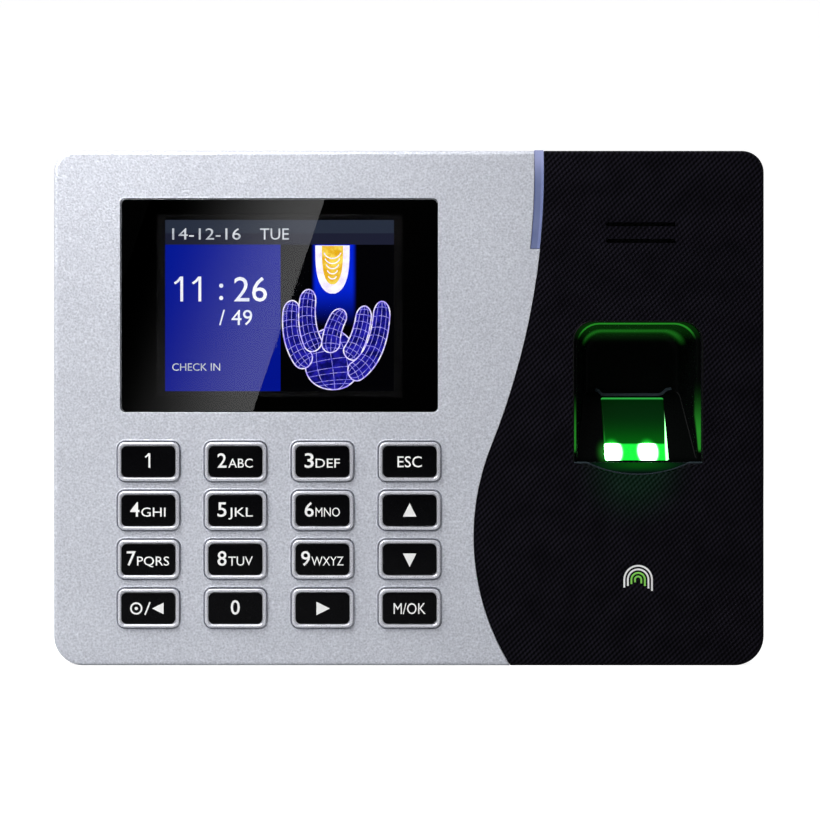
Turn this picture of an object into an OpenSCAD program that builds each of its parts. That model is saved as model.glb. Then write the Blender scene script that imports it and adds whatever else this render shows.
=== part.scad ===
// Fingerprint terminal with a colour display, sixteen keys and an optical finger sensor.
// Frame: X to the user's right, Z up, Y towards the wall. The wall plane is Y = 0, the front
// faces -Y, and the origin is the centre of the wall plate's four screw holes.

/* [Housing] */
// Width of the housing
body_w = 180; // [165:1:220]
// Height of the housing
body_h = 130.5; // [124:0.5:165]
// Depth from the wall to the front face
body_d = 36; // [34:0.5:46]
// Depth of the rear shell, from the wall to the parting line
rear_d = 18; // [17.5:0.5:22]
// Wall thickness of the mouldings
wall = 2.2; // [1.6:0.1:2.6]
// Radius of the two upper corners
top_r = 5.5; // [4:0.5:10]
// Radius of the two lower corners
bottom_r = 7.5; // [4:0.5:10]
// Radius of the rolled edge round the front
edge_r = 1.2; // [0.6:0.1:1.6]

/* [Seam between the silver cover and the black panel] */
// Radius of the upper arc
seam_upper_r = 187.7; // [175:0.1:200]
// X where the upper arc is vertical
seam_top_x = 34.3; // [30:0.1:36]
// Z where the upper arc is vertical
seam_top_z = 60.2; // [58:0.1:62]
// Radius of the lower arc
seam_lower_r = 62; // [55:0.5:70]
// X of the waist, the lower arc's leftmost point
seam_waist_x = 16.4; // [14:0.1:20]

/* [Display] */
// Width of the display window
window_w = 80.3; // [74:0.1:88]
// Height of the display window
window_h = 54; // [50:0.5:58]
// X of the display's centre
display_x = -32.8; // [-36:0.1:-30]
// Z of the display's centre
display_z = 26; // [25:0.5:30]
// Width of the lit picture
picture_w = 58; // [54:0.1:62]
// Height of the lit picture
picture_h = 43.4; // [40:0.1:46]
// Thickness of the window
window_t = 1.5; // [1:0.1:1.6]

/* [Keypad] */
// Column pitch of the keys
key_pitch_x = 22; // [19:0.1:22.4]
// Row pitch of the keys
key_pitch_z = 12.35; // [12:0.05:12.6]
// Z of the keypad's centre
keypad_z = -32.05; // [-33:0.05:-31]
// Width of a key cap
key_w = 15.5; // [13:0.1:17]
// Height of a key cap
key_h = 9.8; // [8:0.1:10]
// Height of a cap above the front face
key_proud = 0.9; // [0.6:0.1:1.4]
// Travel of a key
key_travel = 0.8; // [0.3:0.1:0.9]

/* [Finger sensor] */
// X of the finger recess
finger_x = 58; // [56:0.5:60]
// Width of the finger opening
finger_w = 32.5; // [26:0.5:34]
// Z of the top of the finger opening
finger_top = 21.9; // [19:0.1:23]
// Width of the glass that the finger touches
glass_w = 16.2; // [14:0.1:18]
// Length of that glass, along its slope
glass_l = 19.4; // [17:0.1:21]
// Tilt of the glass from upright
glass_tilt = 31; // [26:1:34]

/* [Wall fixing] */
// Width of the wall plate
plate_w = 100; // [96:1:104]
// Height of the wall plate
plate_h = 64; // [60:1:66]
// Distance between the wall screws along X
hole_pitch_x = 80; // [76:1:84]
// Distance between the wall screws along Z
hole_pitch_z = 50; // [40:1:52]
// Diameter of the wall screw holes
hole_d = 4.5; // [3.5:0.1:5]

/* [Hidden] */
fit = 0.15;              // gap all round between neighbouring pieces
key_gap = 0.45;          // gap all round a key cap in its hole
far = 400;               // longer than the whole part, for cuts
over = 1;                // how far a cut runs past a face
$fn = 64;

front = -body_d;         // Y of the front face
parting = -rear_d;       // Y of the parting line
skin_back = front + wall;          // Y of the back of the front wall
half_w = body_w / 2;
half_h = body_h / 2;

// Shelf of the silver cover that the black panel lies on
shelf_t = 2;
shelf_front = skin_back + 0.05;
shelf_back = shelf_front + shelf_t;
shelf_lap = 3;           // how far the shelf runs on behind the silver skin

// Seam arcs: the lower circle touches the upper one from outside
upper_c = [seam_top_x - seam_upper_r, seam_top_z];
lower_x = seam_waist_x + seam_lower_r;
seam_drop = sqrt(pow(seam_upper_r + seam_lower_r, 2) - pow(lower_x - upper_c[0], 2));
lower_c = [lower_x, seam_top_z - seam_drop];
touch_z = upper_c[1] - seam_drop * seam_upper_r / (seam_upper_r + seam_lower_r);

// Light pipe in the silver side of the seam
pipe_w = 2.45;
pipe_l = 24.9;
pipe_back = front + 2.8;
pipe_leg = 8;            // how far it runs back over the top
pipe_leg_t = 1.2;

// Display stack, from the front
window_seat = front + window_t + 0.1;
tape_t = 0.1;
tape_w = 4;
view_w = picture_w + 4;
view_h = picture_h + 2.6;
lcd_w = 69.2;
lcd_h = 50;
lcd_t = 2.6;
bracket_rim = 2.2;
bracket_back = skin_back + 4;
lcd_back = skin_back + lcd_t;
ribbon_t = 0.3;          // thickness of the flat cables
lcd_ribbon_w = 24;
lcd_ribbon_z = display_z - 14;     // where it leaves the panel
lcd_socket_z = display_z - 20;     // where it meets the main board
lcd_socket_h = 4.5;

// Keys
key_r = 1.8;
hole_r = key_r + key_gap;
insert_rim = 1.1;        // silver rim round the black insert
insert_rise = 0.3;
flange_rim = 0.95;
flange_t = 0.8;
flange_gap = 0.05;
flange_front = skin_back + flange_gap;
flange_back = flange_front + flange_t;
stem_w = 7;
stem_h = 4;
dome_d = 5;
dome_h = 0.35;
dome_gap = 0.15;
mat_t = 1.2;
mat_front = flange_back + key_travel + 0.35;
mat_back = mat_front + mat_t;
keyboard_t = 1.6;
keyboard_back = mat_back + keyboard_t;
stem_back = mat_back - dome_h - dome_gap - key_travel;
columns = 4;
rows = 4;
keys_w = (columns - 1) * key_pitch_x + key_w + 2 * flange_rim;
keys_h = (rows - 1) * key_pitch_z + key_h + 2 * flange_rim;
mat_rim = 0.9;
post_r = 1.8;
post_hole_r = 0.85;
post_x = keys_w / 2 + 0.2;
post_z = keys_h / 2 + post_r + 0.65;
keyboard_w = 2 * post_x + 5;
keyboard_h = 2 * post_z + 4;
key_ribbon_x = [display_x + 10, display_x + 26];
key_ribbon_z = [keypad_z + 8, keypad_z + 18];    // where it lies on the keypad board
key_socket_z = keypad_z + 28.6;    // its socket on the main board
key_socket_h = 3.4;

// Finger recess: depths are measured back from the front face
well_depth = 13;
well_draft = 3.4;        // how far each side closes in over that depth
well_drop = 1.9;         // how far the ceiling comes down over that depth
well_wall = 1.6;
well_front = skin_back + 0.02;
well_r = 5;
glass_low_z = -13.7;     // lower end of the glass slope
glass_low_d = wall;      // its depth
lip_sag = 3.2;           // dip of the lower lip's arc
lip_chord = finger_w;
lip_r = (pow(lip_chord / 2, 2) + pow(lip_sag, 2)) / (2 * lip_sag);
glass_high_z = glass_low_z + glass_l * cos(glass_tilt);
glass_high_d = glass_low_d + glass_l * sin(glass_tilt);
glass_mid = [(glass_low_d + glass_high_d) / 2 + front, (glass_low_z + glass_high_z) / 2];
glass_proud = 0.5;
prism_l = glass_l - 0.8;
prism_t = 9;
flange_lap = 3.4;        // well flange beyond the finger opening
well_flange_t = 1.5;
housing_side = 4;        // sensor housing beside the prism
housing_low = 1.6;       // and below it
housing_high = 1.2;      // and above it
housing_d = 17;
ear_w = 4.5;
ear_t = 2.5;
sensor_pilot_r = 0.8;
ear_x = glass_w / 2 + housing_side + ear_w / 2;
housing_w = glass_w + 2 * housing_side;
opening_h = finger_top - glass_low_z;
opening_z = (finger_top + glass_low_z) / 2;
sensor_board_t = 1.2;
lens_r = 3.2;
lens_l = 5;
led_pitch = 9.2;
led_r = 1.5;
led_l = 3;
led_z = -prism_l / 2 + 3.2;
lens_z = 1;

// Speaker
speaker_x = 58.7;
speaker_z = 44.4;
speaker_r = 14;
speaker_t = 5.5;
slot_w = 17.5;
slot_h = 1;
slot_pitch = 4.2;
ring_t = 1.4;
cloth_t = 0.3;

// Case screws at the four corners
case_x = half_w - 7.6;
case_z = half_h - 7.6;
boss_r = 3.8;
screw_r = 1.45;
pilot_r = 1.5;
shank_hole_r = 1.7;
head_r = 2.9;
head_t = 2.2;
head_hole_r = 3.2;
head_depth = 4;
screw_l = 20;

// Wall plate and its recess
plate_t = 1.5;
plate_r = 3;
recess_d = plate_t + 0.3;
recess_back = recess_d + wall;
pocket_r = 5;            // room for a wall screw's head
pocket_d = recess_d + 3;
pocket_wall = 1.4;
hook_x = 35;
hook_zs = [-12, 8];
hook_w = 6;
hook_rise = 4;
hook_gap = 0.3;
hook_tip = -recess_back - hook_gap - plate_t;
slot_play = 0.6;
lift = hook_rise + slot_play;    // how far the terminal is lifted to come off its hooks
tongue_w = 20;
tongue_end = -half_h + 10;
tab_d = 8.5;
lock_y = -6;
lock_head_z = -half_h + 0.4;
lock_head_depth = 2.6;
lock_l = tongue_end + plate_t + 0.4 - lock_head_z;

// Main board and what it carries
bay_top = -half_h + 25.25;
bay_top_t = 2;
board_back = -17;
board_t = 1.6;
board_front = board_back - board_t;
board_x = [-half_w + 6, finger_x - 22];
board_z = [bay_top + bay_top_t + 0.4, half_h - 15.25];
board_boss_r = 3;
board_screw_xs = [board_x[0] + 8, board_x[1] - 8];
board_screw_zs = [board_z[0] + 7.6, board_z[1] - 6];
board_screw_r = 1.2;
board_pilot_r = 1.25;
board_screw_l = 8;
socket_t = 1.4;
cell_r = 10;
cell_at = [board_x[0] + 20, 2];
cell_t = 3.2;
cell_lift = 1.2;         // floor of the holder under the cell
holder_t = 3.6;
holder_rim = 1.4;
thumb_w = 8;             // notch that the cell is pushed out through

// Flat cable from the sensor's board, which slopes away below the cable's upper edge
cable_z = [-18, -10];
cable_end_y = glass_mid[0] + (housing_d + sensor_board_t) / cos(glass_tilt)
    + (cable_z[1] - glass_mid[1]) * tan(glass_tilt) + 0.05;
cable_side_x = finger_x - glass_w / 2 - housing_side - 1.5;

// Connector bay in the back, open at the bottom
bay_x = [-72, -14];
bay_depth = 16.4;
bay_wall = 1.6;
jack_w = 16;
jack_h = 13.4;
jack_l = 21;
jack_x = -62.5;
plug_w = 11.8;
plug_h = 8;
plug_l = 13;
block_x = -42.5;
block_w = 15.9;
block_h = 10;
block_l = 12;
wire_ways = 4;
wire_pitch = 3.81;
inlet_x = -28;
inlet_w = 9;
inlet_h = 11;
inlet_l = 14;
inlet_r = 3.15;
inlet_pin_r = 1;
reset_x = -18;
reset_y = -14.6;
reset_travel = 0.3;
reset_hole_r = 1;
reset_body = [6, 4.4, 4];
reset_gap = 1.6;         // from the bay's wall to the switch
reset_r = 1.3;
reset_bore_l = 2;

// Socket for a memory stick, in the left side
stick_z = 6;
stick_w = 14.4;
stick_h = 6.8;
stick_l = 16;
stick_wall = 0.5;
stick_mouth = 5;         // depth of the open mouth before the contact tongue
tongue_half = 5.6;       // half the height of that tongue

// Tamper switch behind the wall plate
tamper_x = 18;
tamper_z = 0;
tamper_body_h = 5;
plunger_r = 1.5;
plunger_travel = 0.5;

// ---------- Helpers ----------

// A flat shape drawn as [x, z], filled from Y = near to Y = back
module slab(near, back)
    translate([0, back, 0]) rotate([90, 0, 0]) linear_extrude(back - near) children();

// A flat shape drawn as [y, z], filled from X = left to X = right
module beam(left, right)
    translate([left, 0, 0]) rotate([90, 0, 90]) linear_extrude(right - left) children();

// A flat shape drawn as [x, y], filled from Z = low to Z = high
module column(low, high)
    translate([0, 0, low]) linear_extrude(high - low) children();

// A box between two corners
module block(low, high)
    translate(low) cube(high - low);

// A round bar along Y
module bar(r, near, back)
    translate([0, back, 0]) rotate([90, 0, 0]) cylinder(h = back - near, r = r);

// A rounded rectangle about its own centre
module pad(w, h, r) {
    square([w - 2 * r, h], center = true);
    square([w, h - 2 * r], center = true);
    for (sx = [-1, 1], sz = [-1, 1])
        translate([sx * (w / 2 - r), sz * (h / 2 - r)]) circle(r);
}

// Outline of the housing, drawn in by inset
module outline(inset = 0) {
    rt = top_r - min(inset, top_r - 1);
    rb = bottom_r - min(inset, bottom_r - 1);
    w = half_w - inset;
    h = half_h - inset;
    polygon([
        [-w, -h + rb], [-w + rb, -h], [w - rb, -h], [w, -h + rb],
        [w, h - rt], [w - rt, h], [-w + rt, h], [-w, h - rt]
    ]);
    for (s = [-1, 1]) {
        translate([s * (w - rt), h - rt]) circle(rt);
        translate([s * (w - rb), -h + rb]) circle(rb);
    }
}

// Quarter of a disc that fills a rolled edge
module quarter()
    intersection() {
        circle(edge_r);
        square(edge_r);
    }

// The housing filled solid, with the rolled edge round its front
module filled_body() {
    slab(front + edge_r, parting) outline();
    slab(front, front + edge_r) outline(edge_r);
    for (s = [-1, 1]) {
        rolled_corner(s * (half_w - top_r), half_h - top_r, top_r, s > 0 ? 0 : 90);
        rolled_corner(s * (half_w - bottom_r), -half_h + bottom_r, bottom_r, s > 0 ? 270 : 180);
    }
    beam(-half_w + top_r, half_w - top_r)
        translate([front + edge_r, half_h - edge_r]) mirror([1, 0]) quarter();
    beam(-half_w + bottom_r, half_w - bottom_r)
        translate([front + edge_r, -half_h + edge_r]) mirror([1, 0]) mirror([0, 1]) quarter();
    column(-half_h + bottom_r, half_h - top_r) {
        translate([half_w - edge_r, front + edge_r]) mirror([0, 1]) quarter();
        translate([-half_w + edge_r, front + edge_r]) mirror([0, 1]) mirror([1, 0]) quarter();
    }
}

// One rolled corner of radius r about [x, z], from the given angle on
module rolled_corner(x, z, r, from)
    translate([x, front + edge_r, z]) rotate([90, 0, 0]) rotate([0, 0, from])
        rotate_extrude(angle = 90) translate([r - edge_r, 0]) quarter();

// Everything left of the seam, less a gap
module left_of_seam(gap = 0) {
    intersection() {
        translate(upper_c) circle(r = seam_upper_r - gap, $fn = 360);
        translate([-far / 2, touch_z]) square([far, far / 2]);
    }
    difference() {
        translate([-far / 2, touch_z - far / 2]) square([far / 2 + lower_c[0], far / 2]);
        translate(lower_c) circle(r = seam_lower_r + gap, $fn = 180);
    }
}

// Everything right of the seam, less a gap
module right_of_seam(gap = 0)
    difference() {
        translate([-far / 2, -far / 2]) square(far);
        left_of_seam(-gap);
    }

// Recess for the wall plate, taller than the plate by the lift, grown by a rim
module recess(rim = 0)
    translate([0, -lift / 2])
        pad(plate_w + 2 * (fit + rim), plate_h + lift + 2 * (fit + rim), plate_r + fit + rim);

// The hollow shell of the front, before the seam splits it
module front_shell()
    difference() {
        filled_body();
        slab(skin_back, parting + over) outline(wall);
    }

// Places a child at each key
module at_keys()
    for (column = [0 : columns - 1], row = [0 : rows - 1])
        translate([key_x(column), key_z(row)]) children();

function key_x(column) = display_x + (column - (columns - 1) / 2) * key_pitch_x;
function key_z(row) = keypad_z + ((rows - 1) / 2 - row) * key_pitch_z;

// Places a child at each case screw
module at_case_screws()
    for (sx = [-1, 1], sz = [-1, 1])
        translate([sx * case_x, 0, sz * case_z]) children();

// Places a child at each wall screw
module at_wall_screws()
    for (sx = [-1, 1], sz = [-1, 1])
        translate([sx * hole_pitch_x / 2, 0, sz * hole_pitch_z / 2]) children();

// Places a child at each keypad screw
module at_keyboard_posts()
    for (sx = [-1, 1], sz = [-1, 1])
        translate([display_x + sx * post_x, 0, keypad_z + sz * post_z]) children();

// Places a child at each main board screw
module at_board_screws()
    for (x = board_screw_xs, z = board_screw_zs)
        translate([x, 0, z]) children();

// Moves a child to the glass: its face is the XZ plane, looking along -Y
module at_glass()
    translate([finger_x, glass_mid[0], glass_mid[1]]) rotate([-glass_tilt, 0, 0]) children();

// Area of the light pipe, widened by gap
module pipe_area(gap = 0)
    intersection() {
        difference() {
            translate(upper_c) circle(r = seam_upper_r, $fn = 360);
            translate(upper_c) circle(r = seam_upper_r - pipe_w - gap, $fn = 360);
        }
        translate([0, half_h - pipe_l - gap]) square([far, pipe_l + 2 * over]);
    }

// Finger opening in the black panel, with the dipping lower lip
module finger_opening() {
    translate([finger_x, opening_z]) {
        square([finger_w - 2 * well_r, opening_h], center = true);
        translate([0, -well_r / 2])
            square([finger_w, opening_h - well_r], center = true);
    }
    for (s = [-1, 1])
        translate([finger_x + s * (finger_w / 2 - well_r), finger_top - well_r]) circle(well_r);
    intersection() {
        translate([finger_x, glass_low_z - lip_sag + lip_r]) circle(r = lip_r, $fn = 180);
        translate([finger_x - finger_w / 2, glass_low_z - lip_sag - over])
            square([finger_w, lip_sag + 2 * over]);
    }
}

// Finger recess seen from above, grown by a wall
module well_plan(grow = 0)
    translate([finger_x, front])
        polygon([
            [-finger_w / 2 - grow, -over],
            [finger_w / 2 + grow, -over],
            [finger_w / 2 - well_draft + grow, well_depth + grow],
            [-finger_w / 2 + well_draft - grow, well_depth + grow]
        ]);

// Finger recess seen from the side, grown by a wall: ceiling, back and sloping floor
module well_side(grow = 0)
    translate([front, 0])
        polygon([
            [-over, finger_top + grow],
            [wall, finger_top + grow],
            [well_depth + grow, finger_top - well_drop + grow],
            [well_depth + grow, glass_high_z + grow / 2],
            [glass_high_d + grow * cos(glass_tilt), glass_high_z - grow * sin(glass_tilt)],
            [glass_low_d + grow * cos(glass_tilt), glass_low_z - grow * sin(glass_tilt)],
            [wall, glass_low_z - grow],
            [-over, glass_low_z - grow - lip_sag * (wall + over) / wall]
        ]);

// ---------- Housing ----------

module front_cover()
    color("silver") difference() {
        union() {
            intersection() {
                front_shell();
                slab(front - over, parting + over) left_of_seam(fit / 2);
            }
            slab(shelf_front, shelf_back) intersection() {
                outline(wall + fit);
                right_of_seam(-shelf_lap);
            }
            slab(skin_back - 0.3, shelf_back) intersection() {
                outline(wall + fit);
                right_of_seam(-shelf_lap);
                left_of_seam(fit / 2);
            }
            at_case_screws() bar(boss_r, skin_back + shelf_t, parting + fit);
            at_keyboard_posts() bar(post_r, skin_back - 0.3, mat_back);
            translate([speaker_x, 0, speaker_z])
                bar(speaker_r + fit + ring_t, shelf_front + 0.5, shelf_back + speaker_t - 1);
            for (sz = [-1, 1])
                translate([-case_x, 0, sz * case_z]) bar(boss_r, skin_back - 0.3, parting - fit);
        }
        slab(front - over, window_seat) translate([display_x, display_z])
            pad(window_w + 2 * fit, window_h + 2 * fit, 1.2 + fit);
        slab(front - over, skin_back + over) translate([display_x, display_z]) pad(view_w, view_h, 1);
        slab(front - over, skin_back + flange_gap) at_keys()
            pad(key_w + 2 * key_gap, key_h + 2 * key_gap, hole_r);
        slab(front - over, skin_back + over) pipe_area(fit);
        intersection() {
            slab(front - over, front + pipe_leg + fit) pipe_area(fit);
            block([0, front - over, half_h - pipe_leg_t - fit], [far, parting, half_h + over]);
        }
        slab(shelf_front - over, shelf_back + over) translate([finger_x, opening_z])
            square([finger_w + 2 * (flange_lap + fit), opening_h + 2 * (flange_lap + 2)],
                   center = true);
        translate([speaker_x, 0, speaker_z]) {
            bar(speaker_r - 2, shelf_front - over, shelf_back + over);
            bar(speaker_r + fit, shelf_back, shelf_back + speaker_t);
        }
        at_case_screws() bar(pilot_r, parting - screw_l + 4, parting + over);
        at_keyboard_posts() bar(post_hole_r, skin_back + 1, mat_back + over);
    }

module sensor_panel()
    color("black") difference() {
        intersection() {
            front_shell();
            slab(front - over, parting + over) right_of_seam(fit / 2);
        }
        slab(front - over, skin_back + over) intersection() {
            finger_opening();
            translate([finger_x - finger_w / 2, glass_low_z]) square([finger_w, far]);
        }
        intersection() {
            slab(front - over, skin_back + over) finger_opening();
            beam(finger_x - finger_w, finger_x + finger_w) well_side();
        }
        slab(front - over, skin_back + over) for (s = [-1, 1])
            translate([speaker_x, speaker_z + s * slot_pitch / 2]) square([slot_w, slot_h], center = true);
    }

module rear_shell()
    color("dimgray") difference() {
        union() {
            difference() {
                slab(parting, 0) outline();
                slab(parting - over, -wall) outline(wall);
            }
            slab(-recess_back, -recess_d) recess(wall);
            slab(parting - 2, parting + 2) difference() {
                outline(wall + fit);
                outline(wall + fit + 1);
            }
            slab(parting, parting + 2) difference() {
                outline(wall - over);
                outline(wall + fit + 1);
            }
            block([bay_x[0] - bay_wall, parting, -half_h + wall / 2],
                  [bay_x[1] + bay_wall, -wall / 2, bay_top + bay_top_t]);
            at_case_screws() bar(boss_r, parting + fit, -wall / 2);
            at_board_screws() bar(board_boss_r, board_back, -wall / 2);
            at_wall_screws() bar(pocket_r + pocket_wall, -pocket_d - pocket_wall, -wall);
            block([-tongue_w / 2 - 2, -tab_d - 3, -half_h + wall / 2],
                  [tongue_w / 2 + 2, -wall / 2, tongue_end + 4]);
        }
        slab(-recess_d, over) recess();
        block([bay_x[0], -bay_depth, -half_h - over], [bay_x[1], over, bay_top]);
        block([-tongue_w / 2 - fit, -recess_d, tongue_end - lift - fit], [tongue_w / 2 + fit, over, 0]);
        block([-tongue_w / 2 - fit, -tab_d - slot_play, tongue_end - lift - fit],
              [tongue_w / 2 + fit, over, tongue_end + plate_t + slot_play]);
        translate([0, lock_y, -half_h - over]) cylinder(h = tongue_end + half_h + plate_t, r = shank_hole_r);
        translate([0, lock_y, -half_h - over]) cylinder(h = lock_head_depth + over, r = head_hole_r);
        at_wall_screws() bar(pocket_r, -pocket_d, over);
        for (sx = [-1, 1], z = hook_zs)
            block([sx * hook_x - hook_w / 2 - slot_play, -recess_back - over, z - lift - slot_play],
                  [sx * hook_x + hook_w / 2 + slot_play, over, z + plate_t + fit]);
        at_case_screws() {
            bar(shank_hole_r, parting - over, over);
            bar(head_hole_r, -head_depth, over);
        }
        at_board_screws() bar(board_pilot_r, board_back - over, -recess_back);
        block([jack_x - jack_w / 2 - fit, board_back - over, bay_top - over],
              [jack_x + jack_w / 2 + fit, board_back + jack_h + fit, bay_top + bay_top_t + over]);
        block([block_x - block_w / 2 - fit, board_back - over, bay_top - over],
              [block_x + block_w / 2 + fit, board_back + block_h + fit, bay_top + bay_top_t + over]);
        block([inlet_x - inlet_w / 2 - fit, board_back - over, bay_top - over],
              [inlet_x + inlet_w / 2 + fit, board_back + inlet_h + fit, bay_top + bay_top_t + over]);
        translate([reset_x, reset_y, bay_top - over]) cylinder(h = bay_top_t + 2 * over, r = reset_hole_r);
        block([-half_w - over, board_back - fit, stick_z - stick_w / 2 - fit],
              [-half_w + wall + fit + 1 + over, board_back + stick_h + fit, stick_z + stick_w / 2 + fit]);
        translate([tamper_x, 0, tamper_z]) bar(plunger_r + 0.5, -recess_back - over, over);
    }

// ---------- Display ----------

module display_window()
    color("black") slab(front + 0.02, front + window_t) translate([display_x, display_z])
        pad(window_w, window_h, 1.2);

module window_tape()
    color("dimgray") slab(front + window_t, window_seat) translate([display_x, display_z]) difference() {
        pad(window_w - 0.4, window_h - 0.4, 1);
        square([view_w + 0.4, view_h + 0.4], center = true);
    }

module lcd_panel()
    color("midnightblue") slab(skin_back, skin_back + lcd_t) translate([display_x, display_z])
        square([lcd_w, lcd_h], center = true);

module lcd_bracket()
    color("white") difference() {
        slab(skin_back, bracket_back) translate([display_x, display_z])
            pad(lcd_w + 2 * bracket_rim, lcd_h + 2 * bracket_rim, 1.5);
        slab(skin_back - over, skin_back + lcd_t + 0.05) translate([display_x, display_z])
            square([lcd_w + 2 * fit, lcd_h + 2 * fit], center = true);
        slab(skin_back, bracket_back + over) translate([display_x, display_z])
            square([lcd_w - 12, lcd_h - 12], center = true);
    }

module lcd_ribbon()
    color("orange") beam(display_x - lcd_ribbon_w / 2, display_x + lcd_ribbon_w / 2) polygon([
        [lcd_back, lcd_ribbon_z],
        [bracket_back + 2, lcd_ribbon_z],
        [board_front - 1.5, lcd_socket_z],
        [board_front, lcd_socket_z],
        [board_front, lcd_socket_z - ribbon_t],
        [board_front - 1.6, lcd_socket_z - ribbon_t],
        [bracket_back + 1.9, lcd_ribbon_z - ribbon_t],
        [lcd_back, lcd_ribbon_z - ribbon_t]
    ]);

// ---------- Status light ----------

module light_pipe()
    color("slateblue") {
        slab(front, pipe_back) intersection() {
            pipe_area();
            left_of_seam(fit);
            translate([0, -half_h]) square([far, body_h]);
        }
        intersection() {
            block([0, front, half_h - pipe_leg_t], [far, front + pipe_leg, half_h]);
            slab(front, front + pipe_leg) intersection() {
                pipe_area();
                left_of_seam(fit);
            }
        }
    }

module status_led()
    color("white") translate([seam_top_x - pipe_w / 2 - 0.4, 0, half_h - pipe_l / 2 - 3]) {
        block([-2.5, shelf_back + 0.9, -9], [2.5, shelf_back + 1.9, 9]);
        for (z = [-6, 0, 6])
            block([-0.8, shelf_back + 0.1, z - 1], [0.8, shelf_back + 0.9, z + 1]);
    }

// ---------- Keypad ----------

module key_button(column, row)
    color("gainsboro") translate([key_x(column), 0, key_z(row)]) {
        slab(front - key_proud, flange_front) pad(key_w, key_h, key_r);
        slab(front - key_proud - insert_rise, front - key_proud)
            pad(key_w - 2 * insert_rim, key_h - 2 * insert_rim, key_r - 0.4);
        slab(flange_front, flange_back) pad(key_w + 2 * flange_rim, key_h + 2 * flange_rim, key_r + 0.4);
        slab(flange_back, stem_back) pad(stem_w, stem_h, 0.8);
    }

module keypad_mat()
    color("gray") slab(mat_front, mat_back) translate([display_x, keypad_z]) difference() {
        pad(keys_w + 2 * mat_rim, keys_h + 2 * mat_rim, 2);
        translate([-display_x, -keypad_z]) at_keys() pad(stem_w + 1, stem_h + 1, 1);
        for (sx = [-1, 1], sz = [-1, 1])
            translate([sx * post_x, sz * post_z]) circle(post_r + 0.3);
    }

module keypad_board()
    color("green") slab(mat_back, keyboard_back) translate([display_x, keypad_z]) difference() {
        pad(keyboard_w, keyboard_h, 1);
        for (sx = [-1, 1], sz = [-1, 1]) translate([sx * post_x, sz * post_z]) circle(1.2);
    }

module key_domes()
    color("silver") for (column = [0 : columns - 1], row = [0 : rows - 1])
        translate([key_x(column), 0, key_z(row)]) bar(dome_d / 2, mat_back - dome_h, mat_back);

module keypad_screws()
    color("silver") at_keyboard_posts() {
        bar(2, keyboard_back, keyboard_back + 1.4);
        bar(post_hole_r - 0.05, keyboard_back - 3.4, keyboard_back);
    }

module keypad_ribbon()
    color("orange") beam(key_ribbon_x[0], key_ribbon_x[1]) polygon([
        [keyboard_back, key_ribbon_z[0]],
        [keyboard_back + ribbon_t, key_ribbon_z[0]],
        [keyboard_back + ribbon_t, key_ribbon_z[1]],
        [board_front, key_socket_z - 4.6],
        [board_front, key_socket_z - 0.6],
        [board_front - ribbon_t, key_socket_z - 0.6],
        [board_front - ribbon_t, key_socket_z - 4.4],
        [keyboard_back, key_ribbon_z[1] + 0.2]
    ]);

// ---------- Finger sensor ----------

module finger_well()
    color("black") difference() {
        union() {
            intersection() {
                column(-half_h, half_h) well_plan(well_wall);
                beam(finger_x - finger_w, finger_x + finger_w) well_side(well_wall);
                slab(well_front, 0) square(far, center = true);
            }
            slab(well_front, skin_back + well_flange_t) translate([finger_x, opening_z])
                square([finger_w + 2 * flange_lap, opening_h + 2 * flange_lap], center = true);
            at_glass() for (s = [-1, 1]) translate([s * ear_x, 0, 0]) bar(1.9, 0, well_wall);
        }
        intersection() {
            column(-half_h, half_h) well_plan();
            beam(finger_x - finger_w, finger_x + finger_w) well_side();
            slab(front - over, 0) finger_opening();
        }
        at_glass() {
            block([-glass_w / 2 - fit, -over, -prism_l / 2 - fit],
                  [glass_w / 2 + fit, 4, prism_l / 2 + fit]);
            block([-housing_w / 2 - fit, well_wall + 0.05, -prism_l / 2 - housing_low - fit],
                  [housing_w / 2 + fit, housing_d, prism_l / 2 + housing_high + fit]);
        }
        at_glass() for (s = [-1, 1])
            translate([s * ear_x, 0, 0]) bar(sensor_pilot_r, well_wall - 1.1, well_wall + over);
    }

module sensor_prism()
    color("green") at_glass() beam(-glass_w / 2, glass_w / 2) polygon([
        [-glass_proud, -prism_l / 2],
        [-glass_proud, prism_l / 2],
        [prism_t * 0.35, prism_l / 2],
        [prism_t, prism_l / 2 - prism_t * 0.65],
        [prism_t, -prism_l / 2 + 2],
        [prism_t - 2, -prism_l / 2]
    ]);

module sensor_housing()
    color("black") at_glass() difference() {
        union() {
            block([-housing_w / 2, well_wall + 0.1, -prism_l / 2 - housing_low],
                  [housing_w / 2, housing_d, prism_l / 2 + housing_high]);
            for (s = [-1, 1])
                translate([s * ear_x, 0, 0]) slab(well_wall + 0.1, well_wall + ear_t)
                    pad(ear_w + 2, 7, 2);
        }
        block([-glass_w / 2 - fit, -over, -prism_l / 2 - fit],
              [glass_w / 2 + fit, prism_t + 0.2, prism_l / 2 + fit]);
        translate([0, 0, lens_z]) bar(lens_r + 0.1, prism_t, housing_d + over);
        for (s = [-1, 1]) {
            translate([s * led_pitch / 2, 0, led_z]) bar(led_r + 0.1, prism_t, prism_t + led_l + 0.2);
            translate([s * ear_x, 0, 0]) bar(1.15, 0, housing_d);
        }
    }

module sensor_leds()
    color("lime") at_glass() for (s = [-1, 1])
        translate([s * led_pitch / 2, 0, led_z]) bar(led_r, prism_t + 0.2, prism_t + led_l);

module sensor_lens()
    color("dimgray") at_glass() translate([0, 0, lens_z]) bar(lens_r, housing_d - lens_l, housing_d);

module sensor_board()
    color("green") at_glass() slab(housing_d, housing_d + sensor_board_t)
        translate([0, (housing_high - housing_low) / 2])
            pad(housing_w, prism_l + housing_high + housing_low, 1);

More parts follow.
